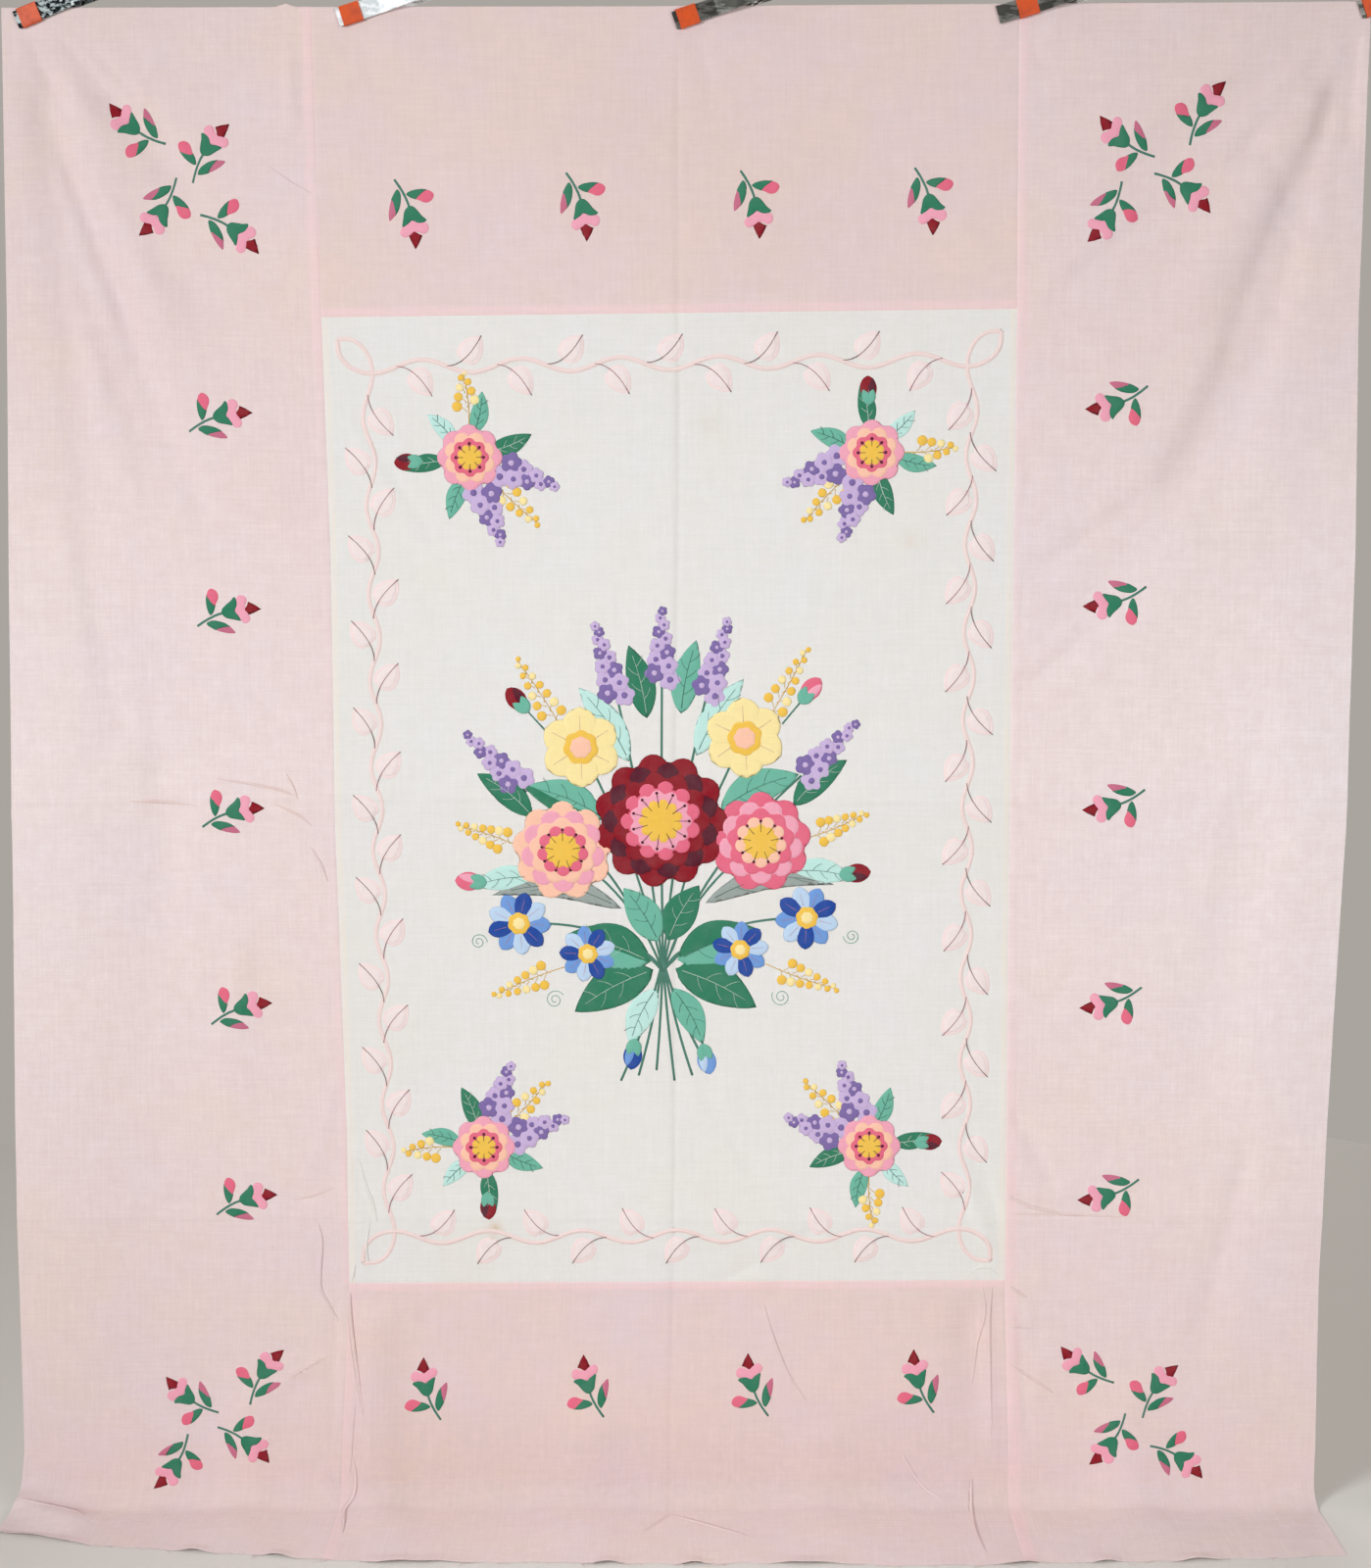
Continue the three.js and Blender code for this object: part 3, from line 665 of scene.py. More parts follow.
def bands(across, drop):
    """Where a seam allowance lies behind the cloth and warms its colour: towards the sides, and at the lower
    left towards the middle."""
    beside = np.abs(across) - HALF_CENTRE
    rows = (BAND_LEFT, BAND_RIGHT, SHOWS_LEFT, SHOWS_RIGHT)
    down = [np.interp(drop, BAND_DROPS, row) for row in rows]
    edge = np.where(across < 0, *down[:2]) + 1.5 * np.sin(drop / 90 + across / 300)
    strength = np.where(across < 0, *down[2:])
    under = np.where((across < 0) & (drop > WHITE_BOTTOM), -beside, beside)
    band = np.where(under > -SEAM_OVERLAP, strength * (1 - smooth(under, edge - 6, edge + 2)), 0)
    centre = np.abs(across) < HALF_CENTRE
    for place, side in CROSS_SEAMS:
        below = side * (drop - place)
        over = SHOWS_ACROSS * (1 - smooth(below, ALLOWANCE - 3, ALLOWANCE + 2))
        band = np.maximum(band, np.where(centre & (below > -SEAM_OVERLAP), over, 0))
    white = centre & (drop > WHITE_TOP) & (drop < WHITE_BOTTOM)
    return np.where(white, SHOWS_ON_WHITE * (1 - smooth(-beside, 7, 13)), band)


# Tan spots: across, drop, radius and strength of each
STAINS = [
    (-277, 1786, 9, 0.75), (-281, 1801, 6, 0.35), (58, 592, 20, 0.16), (351, 762, 16, 0.2),
    (-60, 190, 130, 0.1), (180, 300, 160, 0.1), (-640, 1420, 60, 0.1), (-560, 690, 40, 0.08),
]
# How strongly soil and painted shade show down the middle crease and on the two across, and how strongly
# painted shade shows at the bend and low in the middle
SOIL_SHADE_DROPS = (0, 100, WHITE_TOP, 520, 900, 1500, WHITE_BOTTOM, 2400)
SOIL_SHADE_DOWN = (0, 0.03, 0.05, 0.2, 0.12, 0.14, 0.1, 0.03)
SOIL_SHADE_ACROSS = 0.045
PAINTED_SHADE_BEND = 0.1
PAINTED_SHADE_LOW = 0.11
PAINTED_SHADE_LOW_RUN = (2020, 2190, 2236, 2258)
# How the side panels are paler down their length, partly faded and partly painted light, and the painted
# light that makes all panels paler on the floor
FADE_LIGHT_DROPS = (0, 450, 800, 1080, 1400, 1790, 2200)
FADE_LIGHT_DOWN = (0.3, 0.4, 0.8, 1, 0.85, 0.5, 0.15)
FADE_LIGHT_CENTRE = 0.05
PAINTED_LIGHT_FLOOR = 0.27
PAINTED_LIGHT_FLOOR_RIGHT = 0.1
PAINTED_LIGHT_FLOOR_FROM = (2212, 2258)


def stains(across, drop):
    total = np.zeros_like(across)
    for u, v, radius, strength in STAINS:
        total += strength * np.exp(-((across - u) ** 2 + (drop - v) ** 2) / radius ** 2)
    return np.clip(total, 0, 1)


def soil_and_shade(across, drop):
    """Grey lines of soil and painted shade along the storage folds, strongest down the white panel, and
    painted shade at the bend and low in the middle.
    """
    total = np.interp(drop, SOIL_SHADE_DROPS, SOIL_SHADE_DOWN) * ridge(beside_storage(across, drop) / 3.5)
    for place in STORAGE_DROPS:
        total += SOIL_SHADE_ACROSS * ridge(below_storage(across, drop, place) / 4)
    # Painted shade where the cloth bends onto the floor, and low in the middle above it
    total += PAINTED_SHADE_BEND * ridge((drop - BEND_START - 20) / 20)
    total += PAINTED_SHADE_LOW * plateau(drop, *PAINTED_SHADE_LOW_RUN) * (1 - smooth(np.abs(across), 400, 700))
    return np.clip(total, 0, 1)


def fade_and_light(across, drop):
    """The side panels are paler most at half height, a little more near the outer edges and at the right,
    partly faded and partly painted light; all panels on the floor are painted paler.
    """
    most = 0.15 + (0.55 * np.abs(across) + 0.09 * across) / HALF_WIDTH
    most = np.where(np.abs(across) >= HALF_CENTRE, most, FADE_LIGHT_CENTRE)
    # Painted light: all panels paler on the floor, more towards the right
    floor = PAINTED_LIGHT_FLOOR + PAINTED_LIGHT_FLOOR_RIGHT * smooth(across, 500, 900)
    return most * np.interp(drop, FADE_LIGHT_DROPS, FADE_LIGHT_DOWN) + floor * smooth(drop, *PAINTED_LIGHT_FLOOR_FROM)


SIDE = (-TURN_BACK, END)
CENTRE = (-HALF_CENTRE, HALF_CENTRE)
LEFT = Panel("left_panel", (-HALF_WIDTH, -HALF_CENTRE), SIDE, "pink_cotton")
RIGHT = Panel("right_panel", (HALF_CENTRE, HALF_WIDTH), SIDE, "pink_cotton")
TOP = Panel("top_panel", CENTRE, (-TURN_BACK, WHITE_TOP), "pink_cotton")
WHITE = Panel("white_panel", CENTRE, (WHITE_TOP, WHITE_BOTTOM), "white_cotton")
BOTTOM = Panel("bottom_panel", CENTRE, (WHITE_BOTTOM, END), "pink_cotton")


# Outlines in millimetres, x to the right and y up
LEAF_STEPS = 14
LOBE_STEPS = 7


def leaf(length, width, peak=0.85, full=0.8, bend=0.0):
    """A leaf or petal from its foot at the origin to its tip: peak moves its widest place, full rounds it."""
    t = np.linspace(0, 1, LEAF_STEPS + 1)
    half = width / 2 * np.sin(np.pi * t ** peak) ** full
    middle = bend * np.sin(np.pi * t)
    up = np.stack([middle + half, t * length], -1)
    down = np.stack([middle - half, t * length], -1)[-2:0:-1]
    return np.concatenate([up, down])


def midrib(length, bend=0.0, start=0.08, end=0.85, steps=8):
    t = np.linspace(start, end, steps + 1)
    return np.stack([bend * np.sin(np.pi * t), t * length], -1)


def scallops(radius, lobes, depth=0.16, turn=0.0):
    """A round flower head with a scalloped edge."""
    theta = np.linspace(0, 2 * np.pi, lobes * LOBE_STEPS, endpoint=False)
    wave = np.abs(np.cos(lobes * (theta - turn) / 2)) ** 0.8
    r = radius * (1 - depth + depth * wave)
    return np.stack([r * np.cos(theta), r * np.sin(theta)], -1)


def disc(radius):
    return scallops(radius, 2, 0.0)


def closed_curve(points, steps=3):
    """A smooth closed outline through a few points."""
    p = np.asarray(points, float)
    before, after, next_after = np.roll(p, 1, 0), np.roll(p, -1, 0), np.roll(p, -2, 0)
    t = (np.arange(steps) / steps)[:, None, None]
    curve = 0.5 * (2 * p + (after - before) * t + (2 * before - 5 * p + 4 * after - next_after) * t ** 2
                   + (3 * p - before - 3 * after + next_after) * t ** 3)
    return curve.transpose(1, 0, 2).reshape(-1, 2)


def open_curve(points, steps=6):
    """A smooth line through a few points."""
    p = np.asarray(points, float)
    extended = np.concatenate([2 * p[:1] - p[1:2], p, 2 * p[-1:] - p[-2:-1]])
    return closed_curve(extended, steps)[steps:steps * len(p) + 1]


def bow(start, middle, end, steps=10):
    """A bent line from start to end, pulled towards the middle point."""
    t = np.linspace(0, 1, steps + 1)[:, None]
    start, middle, end = (np.asarray(p, float) for p in (start, middle, end))
    return (1 - t) ** 2 * start + 2 * t * (1 - t) * middle + t ** 2 * end


def clipped(outline, point, along):
    """The part of an outline to the left of a line through a point."""
    distance = (outline - point) @ np.array([-along[1], along[0]], float)
    result = []
    for k in range(len(outline)):
        here, there = outline[k - 1], outline[k]
        if distance[k - 1] * distance[k] < 0:
            result.append(here + (there - here) * distance[k - 1] / (distance[k - 1] - distance[k]))
        if distance[k] >= 0:
            result.append(there)
    return np.array(result)


def around(count, radius):
    """Points evenly round a circle."""
    angle = 2 * np.pi * np.arange(count) / count
    return radius * np.stack([np.cos(angle), np.sin(angle)], -1)


def turning(degrees, size=1.0):
    """The matrix of a turn anticlockwise and a change of size."""
    cos, sin = size * math.cos(math.radians(degrees)), size * math.sin(math.radians(degrees))
    return np.array([[cos, -sin], [sin, cos]])


def outline_distance(points, outline):
    """How far each point is from an outline."""
    a, b = outline, np.roll(outline, -1, 0)
    edge = b - a
    rel = points[:, None] - a[None]
    share = np.clip((rel * edge).sum(-1) / np.maximum((edge ** 2).sum(-1), 1e-9), 0, 1)
    return np.linalg.norm(rel - share[..., None] * edge, axis=-1).min(1)


def inside(points, outline):
    a, b = outline, np.roll(outline, -1, 0)
    x, y = points[:, :1], points[:, 1:]
    straddles = (a[:, 1] > y) != (b[:, 1] > y)
    height = np.where(np.abs(b[:, 1] - a[:, 1]) < 1e-9, 1e-9, b[:, 1] - a[:, 1])
    crossing = a[:, 0] + (y - a[:, 1]) / height * (b[:, 0] - a[:, 0])
    return (straddles & (x < crossing)).sum(1) % 2 == 1


# A patch: width of its rounded edge, how far that is tucked in, spacing of inner points, reach of its puff
EDGE = 0.9
TUCK = 0.55
FILL = 5.0
PUFF_REACH = 5
# Points nearer than this are on the edge
ON_EDGE = 1e-3
# Sections of a strip, across it and up: a stem or thread, and a sharp crease in the cloth
RIBBON = ((-1, 0), (-0.6, 1), (0.6, 1), (1, 0))
CREASE = ((-1, 0), (-0.84, 1), (0.1, 0.5), (1, 0))


def beside_line(line):
    """The direction to the side at each point of a line on the flat."""
    along = unit(np.gradient(line, axis=0))
    return np.stack([-along[:, 1], along[:, 0]], -1)


def fill_points(outline):
    """Points inside a patch: a ring near its edge, and a grid that lets it follow the cloth."""
    along = unit(np.roll(outline, -1, 0) - np.roll(outline, 1, 0))
    ring = outline + EDGE * np.stack([-along[:, 1], along[:, 0]], -1)
    lines = [np.arange(a + FILL / 2, b, FILL) for a, b in zip(outline.min(0), outline.max(0))]
    grid = np.stack(np.meshgrid(*lines), -1).reshape(-1, 2)
    kept = []
    for points, clear in ((ring, 0.75 * EDGE), (grid, 3 * EDGE)):
        kept.append(points[inside(points, outline) & (outline_distance(points, outline) > clear)])
    return np.concatenate(kept)


def patch_mesh(outline):
    """Points of a patch on the flat, its triangles, and how far each point is from its edge."""
    area = np.sum(outline[:, 0] * np.roll(outline[:, 1], -1) - outline[:, 1] * np.roll(outline[:, 0], -1))
    if area < 0:
        outline = outline[::-1]
    points = np.concatenate([outline, fill_points(outline)])
    count = len(outline)
    edges = [(k, (k + 1) % count) for k in range(count)]
    verts, _, faces, *_ = delaunay_2d_cdt([Vector(p) for p in points.tolist()], edges, [], 1, 1e-4)
    flat = np.array([v[:] for v in verts])
    return flat, [list(face) for face in faces], outline_distance(flat, outline)


class Applique:
    """Patches, threads and creases on one panel, gathered into one object."""

    def __init__(self, name, panel):
        self.name, self.panel = name, panel
        self.points, self.flats, self.faces, self.slots, self.colours = [], [], [], [], []
        self.count = 0

    def add(self, flats, heights, faces, colour):
        if colour not in self.colours:
            self.colours.append(colour)
        self.points.append(self.panel.at(*flats.T, HALF_CLOTH + heights))
        self.flats.append(flats)
        self.faces += [[index + self.count for index in face] for face in faces]
        self.slots += [self.colours.index(colour)] * len(faces)
        self.count += len(flats)

    def build(self, slot):
        materials = [MATERIALS[colour] for colour in self.colours]
        piece = new_object(self.name, np.concatenate(self.points), self.faces, materials, self.slots)
        lay_uv(piece.data, "flat", np.concatenate(self.flats) * MM)
        return piece


class Place:
    """Where a motif lies on the flat: its middle, its turn in degrees anticlockwise, and its size."""

    def __init__(self, applique, across, drop, turn=0.0, size=1.0):
        self.applique, self.size = applique, size
        self.middle = np.array([across, drop], float)
        self.matrix = np.diag([1, -1]) @ turning(turn, size)

    def flat(self, local):
        return np.asarray(local, float) @ self.matrix.T + self.middle

    def within(self, x, y, turn=0.0):
        """A place inside this one."""
        inner = Place(self.applique, *self.flat((x, y)), size=self.size)
        inner.matrix = self.matrix @ turning(turn)
        return inner

    def patch(self, outline, colour, lift=0.3, puff=0.3):
        """A patch with turned-under edges, a little full in the middle."""
        flat, faces, distance = patch_mesh(self.flat(outline))
        height = lift + puff * (1 - np.exp(-distance / PUFF_REACH))
        height[distance < ON_EDGE] = lift - TUCK
        inner = np.flatnonzero(distance >= ON_EDGE)
        below = np.arange(len(flat))
        below[inner] = len(flat) + np.arange(len(inner))
        lower = [[int(below[index]) for index in face] for face in faces]
        upper = [face[::-1] for face in faces]
        heights = np.concatenate([height, np.full(len(inner), lift - TUCK)])
        self.applique.add(np.concatenate([flat, flat[inner]]), heights, upper + lower, colour)

    def strip(self, path, width, colour, lift=0.3, taper=0.0, section=RIBBON, fades=False):
        """A stem, ribbon, thread or crease along a path, tucked in along both edges."""
        line = self.flat(path)
        side = beside_line(line)
        t = np.linspace(0, 1, len(line))
        swell = np.sin(np.pi * t) ** 0.5 if fades else np.ones(len(line))
        half = width * self.size / 2 * (1 - taper * t) * (0.3 + 0.7 * swell)
        flats = np.concatenate([line + side * (half * share)[:, None] for share, _ in section])
        heights = np.concatenate([lift * swell * part - TUCK * (1 - part) for _, part in section])
        self.applique.add(flats, heights, turned_over(swept_faces(len(line), len(section))), colour)


# Sharp creases on each panel: points on the flat, width and height of the raised edge
LINES = {
    BOTTOM: [
        ([(-499, 1882), (-498, 1915), (-491, 1966), (-481, 2023), (-470, 2082)], 9.1, 3.0),
        ([(-484, 2057), (-487, 2112), (-488, 2178)], 7.8, 1.3),
        ([(-484, 2150), (-480, 2185), (-482, 2214), (-492, 2240), (-488, 2280), (-484, 2330)], 9.1, 2.8),
        ([(465, 1878), (468, 1923), (456, 1972), (447, 2040)], 6.5, 0.9),
        ([(480, 1880), (474, 1934), (473, 2030), (474, 2120)], 7.8, 1.05),
        ([(445, 2185), (440, 2300), (448, 2385)], 7.8, 1.9),
        ([(131, 1904), (144, 1954), (168, 2017), (196, 2062)], 6.5, 1.53),
        ([(335, 2140), (368, 2196), (402, 2220)], 6.5, 1.53),
        ([(-9, 2252), (50, 2290), (112, 2332)], 6.5, 1.7),
        ([(-46, 2320), (-24, 2285), (-7, 2256)], 6.5, 1.36),
    ],
    LEFT: [
        ([(-548, 1771), (-541, 1806), (-545, 1872), (-530, 1905), (-512, 1936)], 6.5, 1.53),
        ([(-586, 2024), (-560, 2006), (-526, 1987)], 7.8, 1.2),
        ([(-582, 1743), (-550, 1735), (-520, 1724)], 7.8, 1.19),
        ([(-996, 2223), (-936, 2250), (-879, 2289)], 9.1, 2.4),
        ([(-690, 1106), (-600, 1119), (-558, 1132)], 6.5, 1.36),
        ([(-596, 1143), (-560, 1158), (-535, 1177)], 6.5, 1.19),
        ([(-576, 1096), (-565, 1116), (-557, 1136)], 5.2, 1.19),
        ([(-818, 1142), (-770, 1143), (-716, 1148)], 6.5, 1.19),
        ([(-541, 1206), (-526, 1232), (-515, 1262)], 6.5, 1.19),
        ([(-578, 223), (-545, 245), (-507, 263)], 8, 0.7),
    ],
    WHITE: [
        ([(-484, 1676), (-473, 1720), (-463, 1745), (-457, 1776)], 6.5, 1.8),
        ([(-468, 1776), (-474, 1816), (-470, 1840)], 5.2, 1.5),
        ([(-491, 1840), (-494, 1854), (-496, 1868)], 5.2, 1.2),
        ([(445, 1866), (456, 1853), (477, 1853), (491, 1865)], 5.2, 1.19),
    ],
    RIGHT: [
        ([(504, 1740), (527, 1753), (547, 1760), (584, 1766)], 7.8, 1.7),
        ([(504, 1768), (590, 1769), (690, 1774)], 6.5, 1.36),
        ([(505, 1881), (518, 1889), (535, 1900)], 6.5, 1.53),
        ([(504, 1945), (522, 1946), (541, 1949)], 6.5, 1.19),
        ([(504, 2005), (545, 2031), (575, 2052)], 6.5, 1.7),
    ],
}


def sharp_creases():
    built = {}
    for panel, lines in LINES.items():
        applique = Applique(panel.node + "_creases", panel)
        place = Place(applique, 0, 0)
        place.matrix = np.eye(2)
        for points, width, height in lines:
            place.strip(open_curve(points), width, panel.slot, height, 0, CREASE, True)
        built[panel] = [applique.build(panel.slot)]
    return built


# Border sprigs: a rosebud on a bent stem, pointing along +x from the foot of its calyx
STEM = ((-37, -21.5), (-15.5, -5), (1.5, -0.5))
STEM_WIDTH = 4.6
CALYX = [
    (-1, 0), (0.4, 6), (5.4, 11.4), (12.6, 17.6), (18, 24), (22, 18.6), (22.4, 11), (19.2, 3.2), (24, -2.2),
    (28.6, -10.4), (18, -9.4), (7, -7.6), (1, -3.4),
]
PETALS = [
    (19, 8), (20.5, 20), (24, 26), (30.3, 27.2), (35.6, 24.4), (37.6, 18.5), (35, 10.6), (39, 2),
    (43.2, -5.6), (41, -12), (35.4, -14.4), (29.5, -11.5), (24, -3.5), (19.5, 3),
]
KITE = [
    (59, 8), (49.6, 13.6), (39.4, 18), (38, 13.6), (36, 9.8), (33.2, 6.4), (36.4, 3), (40.6, -1.4), (50.2, 3),
]
BUD = [
    (-17.7, -4.6), (-21.9, 2.5), (-24.4, 14), (-24, 24), (-22, 31), (-17.6, 35), (-12.6, 34), (-8.6, 31.4),
    (-5.8, 26.5), (-5.6, 20.5), (-9.2, 11.5), (-11.6, 3), (-14.2, -2.2),
]
SLIM = [
    (-23.6, -17.6), (-17.6, -13), (-9.5, -12.2), (2.4, -14.4), (12.4, -19.8), (21, -28.6), (13.4, -30.4),
    (5.4, -29.8), (-5, -27.6), (-15.4, -23.4),
]
# Where the green of the slim leaf and of the bud ends: a point and a direction
SLIM_CUT = ((-8.6, -26.2), (20, 5.2))
BUD_CUT = ((-22.4, 23.8), (-11.5, 12.9))
# From the middle of a sprig to the foot of its calyx
SPRIG_FOOT = (1, 2.5)
# The left panel hangs narrower than it lies, all of it in the folds beside the sprigs
HUNG_SHARE = 0.97
# Those below the white panel are cut a little longer and slimmer
BOTTOM_STRETCH = (0.98, 1.06)
# Across, drop and turn of the sprigs on each panel
SPRIGS = {
    LEFT: [(-677, 580, 0), (-671, 863, -1), (-669, 1160, 0), (-665, 1457, 2), (-664, 1748, 2)],
    RIGHT: [(659, 558, 184), (661, 846, 181), (665, 1144, 181), (669, 1441, 181), (673, 1735, 181)],
    TOP: [(-371, 278, -91), (-126, 269, -91), (122, 267, -92), (370, 264, -92)],
    BOTTOM: [(-372, 2053, 90), (-128, 2049, 92), (120, 2048, 91), (370, 2043, 90)],
}
# A corner group's four sprigs: place of each from the middle of the group, and turn
LONG_FALLING = [(-69, 67, 128), (32, 32, 38), (-30, -35, 219), (66, -65, -49)]
LONG_RISING = [(-36, 26, 129), (64, 64, 43), (-60, -63.5, 223), (37, -29.5, -51)]
CORNER_GROUPS = {
    LEFT: [(-713, 241, LONG_FALLING), (-696, 2091, LONG_RISING)],
    RIGHT: [(697, 222, LONG_RISING), (703, 2084, LONG_FALLING)],
}


def sprig(place):
    slim, bud = closed_curve(SLIM), closed_curve(BUD)
    place.strip(bow(*STEM), STEM_WIDTH, "stem_green", 0.4)
    place.patch(slim, "rose", 0.3, 0.2)
    place.patch(clipped(slim, *SLIM_CUT), "dark_green", 0.65)
    place.patch(bud, "hot_pink", 0.3, 0.25)
    place.patch(clipped(bud, *BUD_CUT), "dark_green", 0.7)
    place.patch(closed_curve(PETALS), "light_pink", 0.35)
    place.patch(np.array(KITE), "dark_red", 0.75)
    place.patch(closed_curve(CALYX), "dark_green", 0.8)


def sewn_stretch(panel, drop):
    """How much wider and longer a sprig is sewn; on the side panels so that it hangs in its own shape."""
    if panel is TOP:
        return 1, 1
    if panel is BOTTOM:
        return BOTTOM_STRETCH
    edges = (1, 2) if panel is LEFT else (3, 4)
    near, far = (np.interp(drop, HANG[:, 0], HANG[:, k]) for k in edges)
    return HUNG_SHARE * HALF_CENTRE / (far - near), 1


def sprig_places(panel, applique):
    """Places of a panel's own sprigs, then of its corner groups."""
    rows = list(SPRIGS[panel])
    for across, drop, group in CORNER_GROUPS.get(panel, []):
        rows += [(across + x, drop - y, turn) for x, y, turn in group]
    for across, drop, turn in rows:
        place = Place(applique, across, drop, turn)
        place.matrix = np.diag(sewn_stretch(panel, drop)) @ place.matrix
        yield place.within(*SPRIG_FOOT)


def border_sprigs():
    built = {}
    for panel in SPRIGS:
        applique = Applique(panel.node.replace("_panel", "_sprigs"), panel)
        for place in sprig_places(panel, applique):
            sprig(place)
        built[panel] = [applique.build("pink_cotton")]
    return built


# The vine round the white panel: a waving ribbon on each side, leaf-shaped loops at the corners
VINE_WIDTH = 8.6
# Its pale middle: share of the width, and how much higher it lies
CORE_SHARE = 0.42
CORE_RISE = 0.25
WAVE_STEPS = 16
LOOP_TIP = (22, 31)
LOOP_SHARES = ((0, 0), (0.04, 0.44), (0.28, 0.76), (0.65, 0.95))
WHITE_MIDDLE = (WHITE_TOP + WHITE_BOTTOM) / 2
HALF_HEIGHT = (WHITE_BOTTOM - WHITE_TOP) / 2
# Inset of the vine's middle line, its swing and its waves, on the top and bottom runs and on the side runs
ENDS_IN, ENDS_SWING, ENDS_WAVES = 71.5, 9.5, 6
SIDES_IN, SIDES_SWING, SIDES_WAVES = 63, 8, 10
Run = namedtuple("Run", "half_run half_other inset swing waves start tip lean lift")
ENDS = Run(HALF_CENTRE, HALF_HEIGHT, ENDS_IN, ENDS_SWING, ENDS_WAVES,
           start=SIDES_IN + SIDES_SWING, tip=LOOP_TIP, lean=36, lift=0.5)
SIDES = Run(HALF_HEIGHT, HALF_CENTRE, SIDES_IN, SIDES_SWING, SIDES_WAVES,
            start=ENDS_IN + ENDS_SWING, tip=LOOP_TIP[::-1], lean=50, lift=0.3)
RUNS = ((0, ENDS), (-90, SIDES), (180, ENDS), (90, SIDES))
# A leaf of the vine: where it starts beside the vine, its outline, the paler one within it, and its rib
VINE_LEAF_FOOT = np.array([-13, 4])
VINE_LEAF = (47, 38, 0.74, 0.62)
PALE_LEAF = (37, 28, 0.74, 0.62)
RIB_LENGTH = 48
# How much the leaves differ in place and turn
LEAF_SHIFT = 2
LEAF_TURN = 4


def vine_path(run):
    """One side seen with its outer edge up and the vine growing to the right."""
    length = 2 * (run.half_run - run.start)
    s = np.linspace(0, length, run.waves * WAVE_STEPS + 1)
    wave = run.swing * np.cos(2 * np.pi * run.waves * s / length)
    waving = np.stack([s - length / 2, run.half_other - run.inset - wave], -1)
    tip = np.array(run.tip, float)
    crossing = np.array([run.start, run.inset + run.swing])
    half_loop = [tip + (crossing - tip) * shares for shares in LOOP_SHARES] + [crossing]
    loop = (run.half_run, run.half_other) - open_curve(half_loop, 5)[:-1]
    return np.concatenate([loop * (-1, 1), waving, loop[::-1]]), length


def vine_leaf(place, lean, colour):
    """A leaf that leans along the vine, paler within its turned-under edge, and its stitched rib."""
    spot = place.within(*VINE_LEAF_FOOT, -lean)
    spot.patch(leaf(*VINE_LEAF), "leaf_pink", 0.15, 0.2)
    spot.within(0, 4).patch(leaf(*PALE_LEAF), "pale_leaf", 0.5, 0.15)
    angle = math.radians(lean)
    tip = VINE_LEAF_FOOT + RIB_LENGTH * np.array([math.sin(angle), math.cos(angle)])
    place.strip(bow((-35, 0), (-8, 0), tip), 1.7, colour, 0.95)


def vine_leaves(place, run, length):
    """Leaves by turns outside and inside the vine, the last one facing back."""
    last = 2 * run.waves - 1
    for k in range(1, last + 1):
        inward = k % 2
        x = -length / 2 + k * length / (2 * run.waves) + RNG.uniform(-LEAF_SHIFT, LEAF_SHIFT)
        spot = place.within(x, run.half_other - run.inset, RNG.uniform(-LEAF_TURN, LEAF_TURN))
        spot.matrix = spot.matrix @ np.diag([-1 if k == last else 1, -1 if inward else 1])
        vine_leaf(spot, run.lean, "mauve_thread" if inward else "vein_brown")


def vine_border():
    ribbon, leaves = Applique("vine_ribbon", WHITE), Applique("vine_leaves", WHITE)
    for turn, run in RUNS:
        path, length = vine_path(run)
        place = Place(ribbon, 0, WHITE_MIDDLE, turn)
        place.strip(path, VINE_WIDTH, "vine_pink", run.lift)
        place.strip(path, CORE_SHARE * VINE_WIDTH, "leaf_pink", run.lift + CORE_RISE)
        vine_leaves(Place(leaves, 0, WHITE_MIDDLE, turn), run, length)
    return [ribbon.build("pink_cotton"), leaves.build("pink_cotton")]


# Flowers for the sprays and the bouquet, each around its own middle; how much higher each next layer lies
LAYER = 0.45
STAGGER = 0.12
# Heights of petals, florets, green leaves and buds over the cloth
PETAL_LIFT = 1.1
FLORET_LIFT = 0.7
GREEN_LIFT = 0.5
BUD_LIFT = 0.6
# Veins of a green leaf: how far up each one starts, and its side
VEINS = ((0.26, 1), (0.36, -1), (0.48, 1), (0.58, -1), (0.7, 1))


def layered_flower(place, radius, colours, lobes, lift):
    """Scalloped rounds over each other, each turned by half a lobe, and stitched rays round the heart."""
    for k, colour in enumerate(colours):
        share = 1 - 0.8 * k / len(colours)
        outline = scallops(radius * share, lobes, 0.17, k * math.pi / lobes)
        place.patch(outline, colour, lift + LAYER * k)
    top = lift + LAYER * len(colours)
    for inner, outer in zip(around(lobes, radius * 0.2), around(lobes, radius * 0.42)):
        place.strip([inner, (inner + outer) / 2, outer], 1.3, "vein_dark", top)
        place.within(*outer).patch(disc(2.2), "maroon", top)


def petal_flower(place, radius, petals, width, colours, heart):
    """Separate petals in turn, then the heart."""
    petal = leaf(radius, radius * width, 1.35, 0.6)
    for k in range(petals):
        spot = place.within(0, 0, 360 * k / petals)
        spot.patch(petal, colours[k % len(colours)], PETAL_LIFT + STAGGER * (k % 3))
        spot.strip(midrib(radius, 0, 0.4, 0.8, 4), 1.1, "pink_thread", PETAL_LIFT + 0.65, 0.5)
    for k, (share, colour) in enumerate(heart):
        place.patch(scallops(radius * share, 7, 0.12), colour, PETAL_LIFT + 0.7 + LAYER * k)


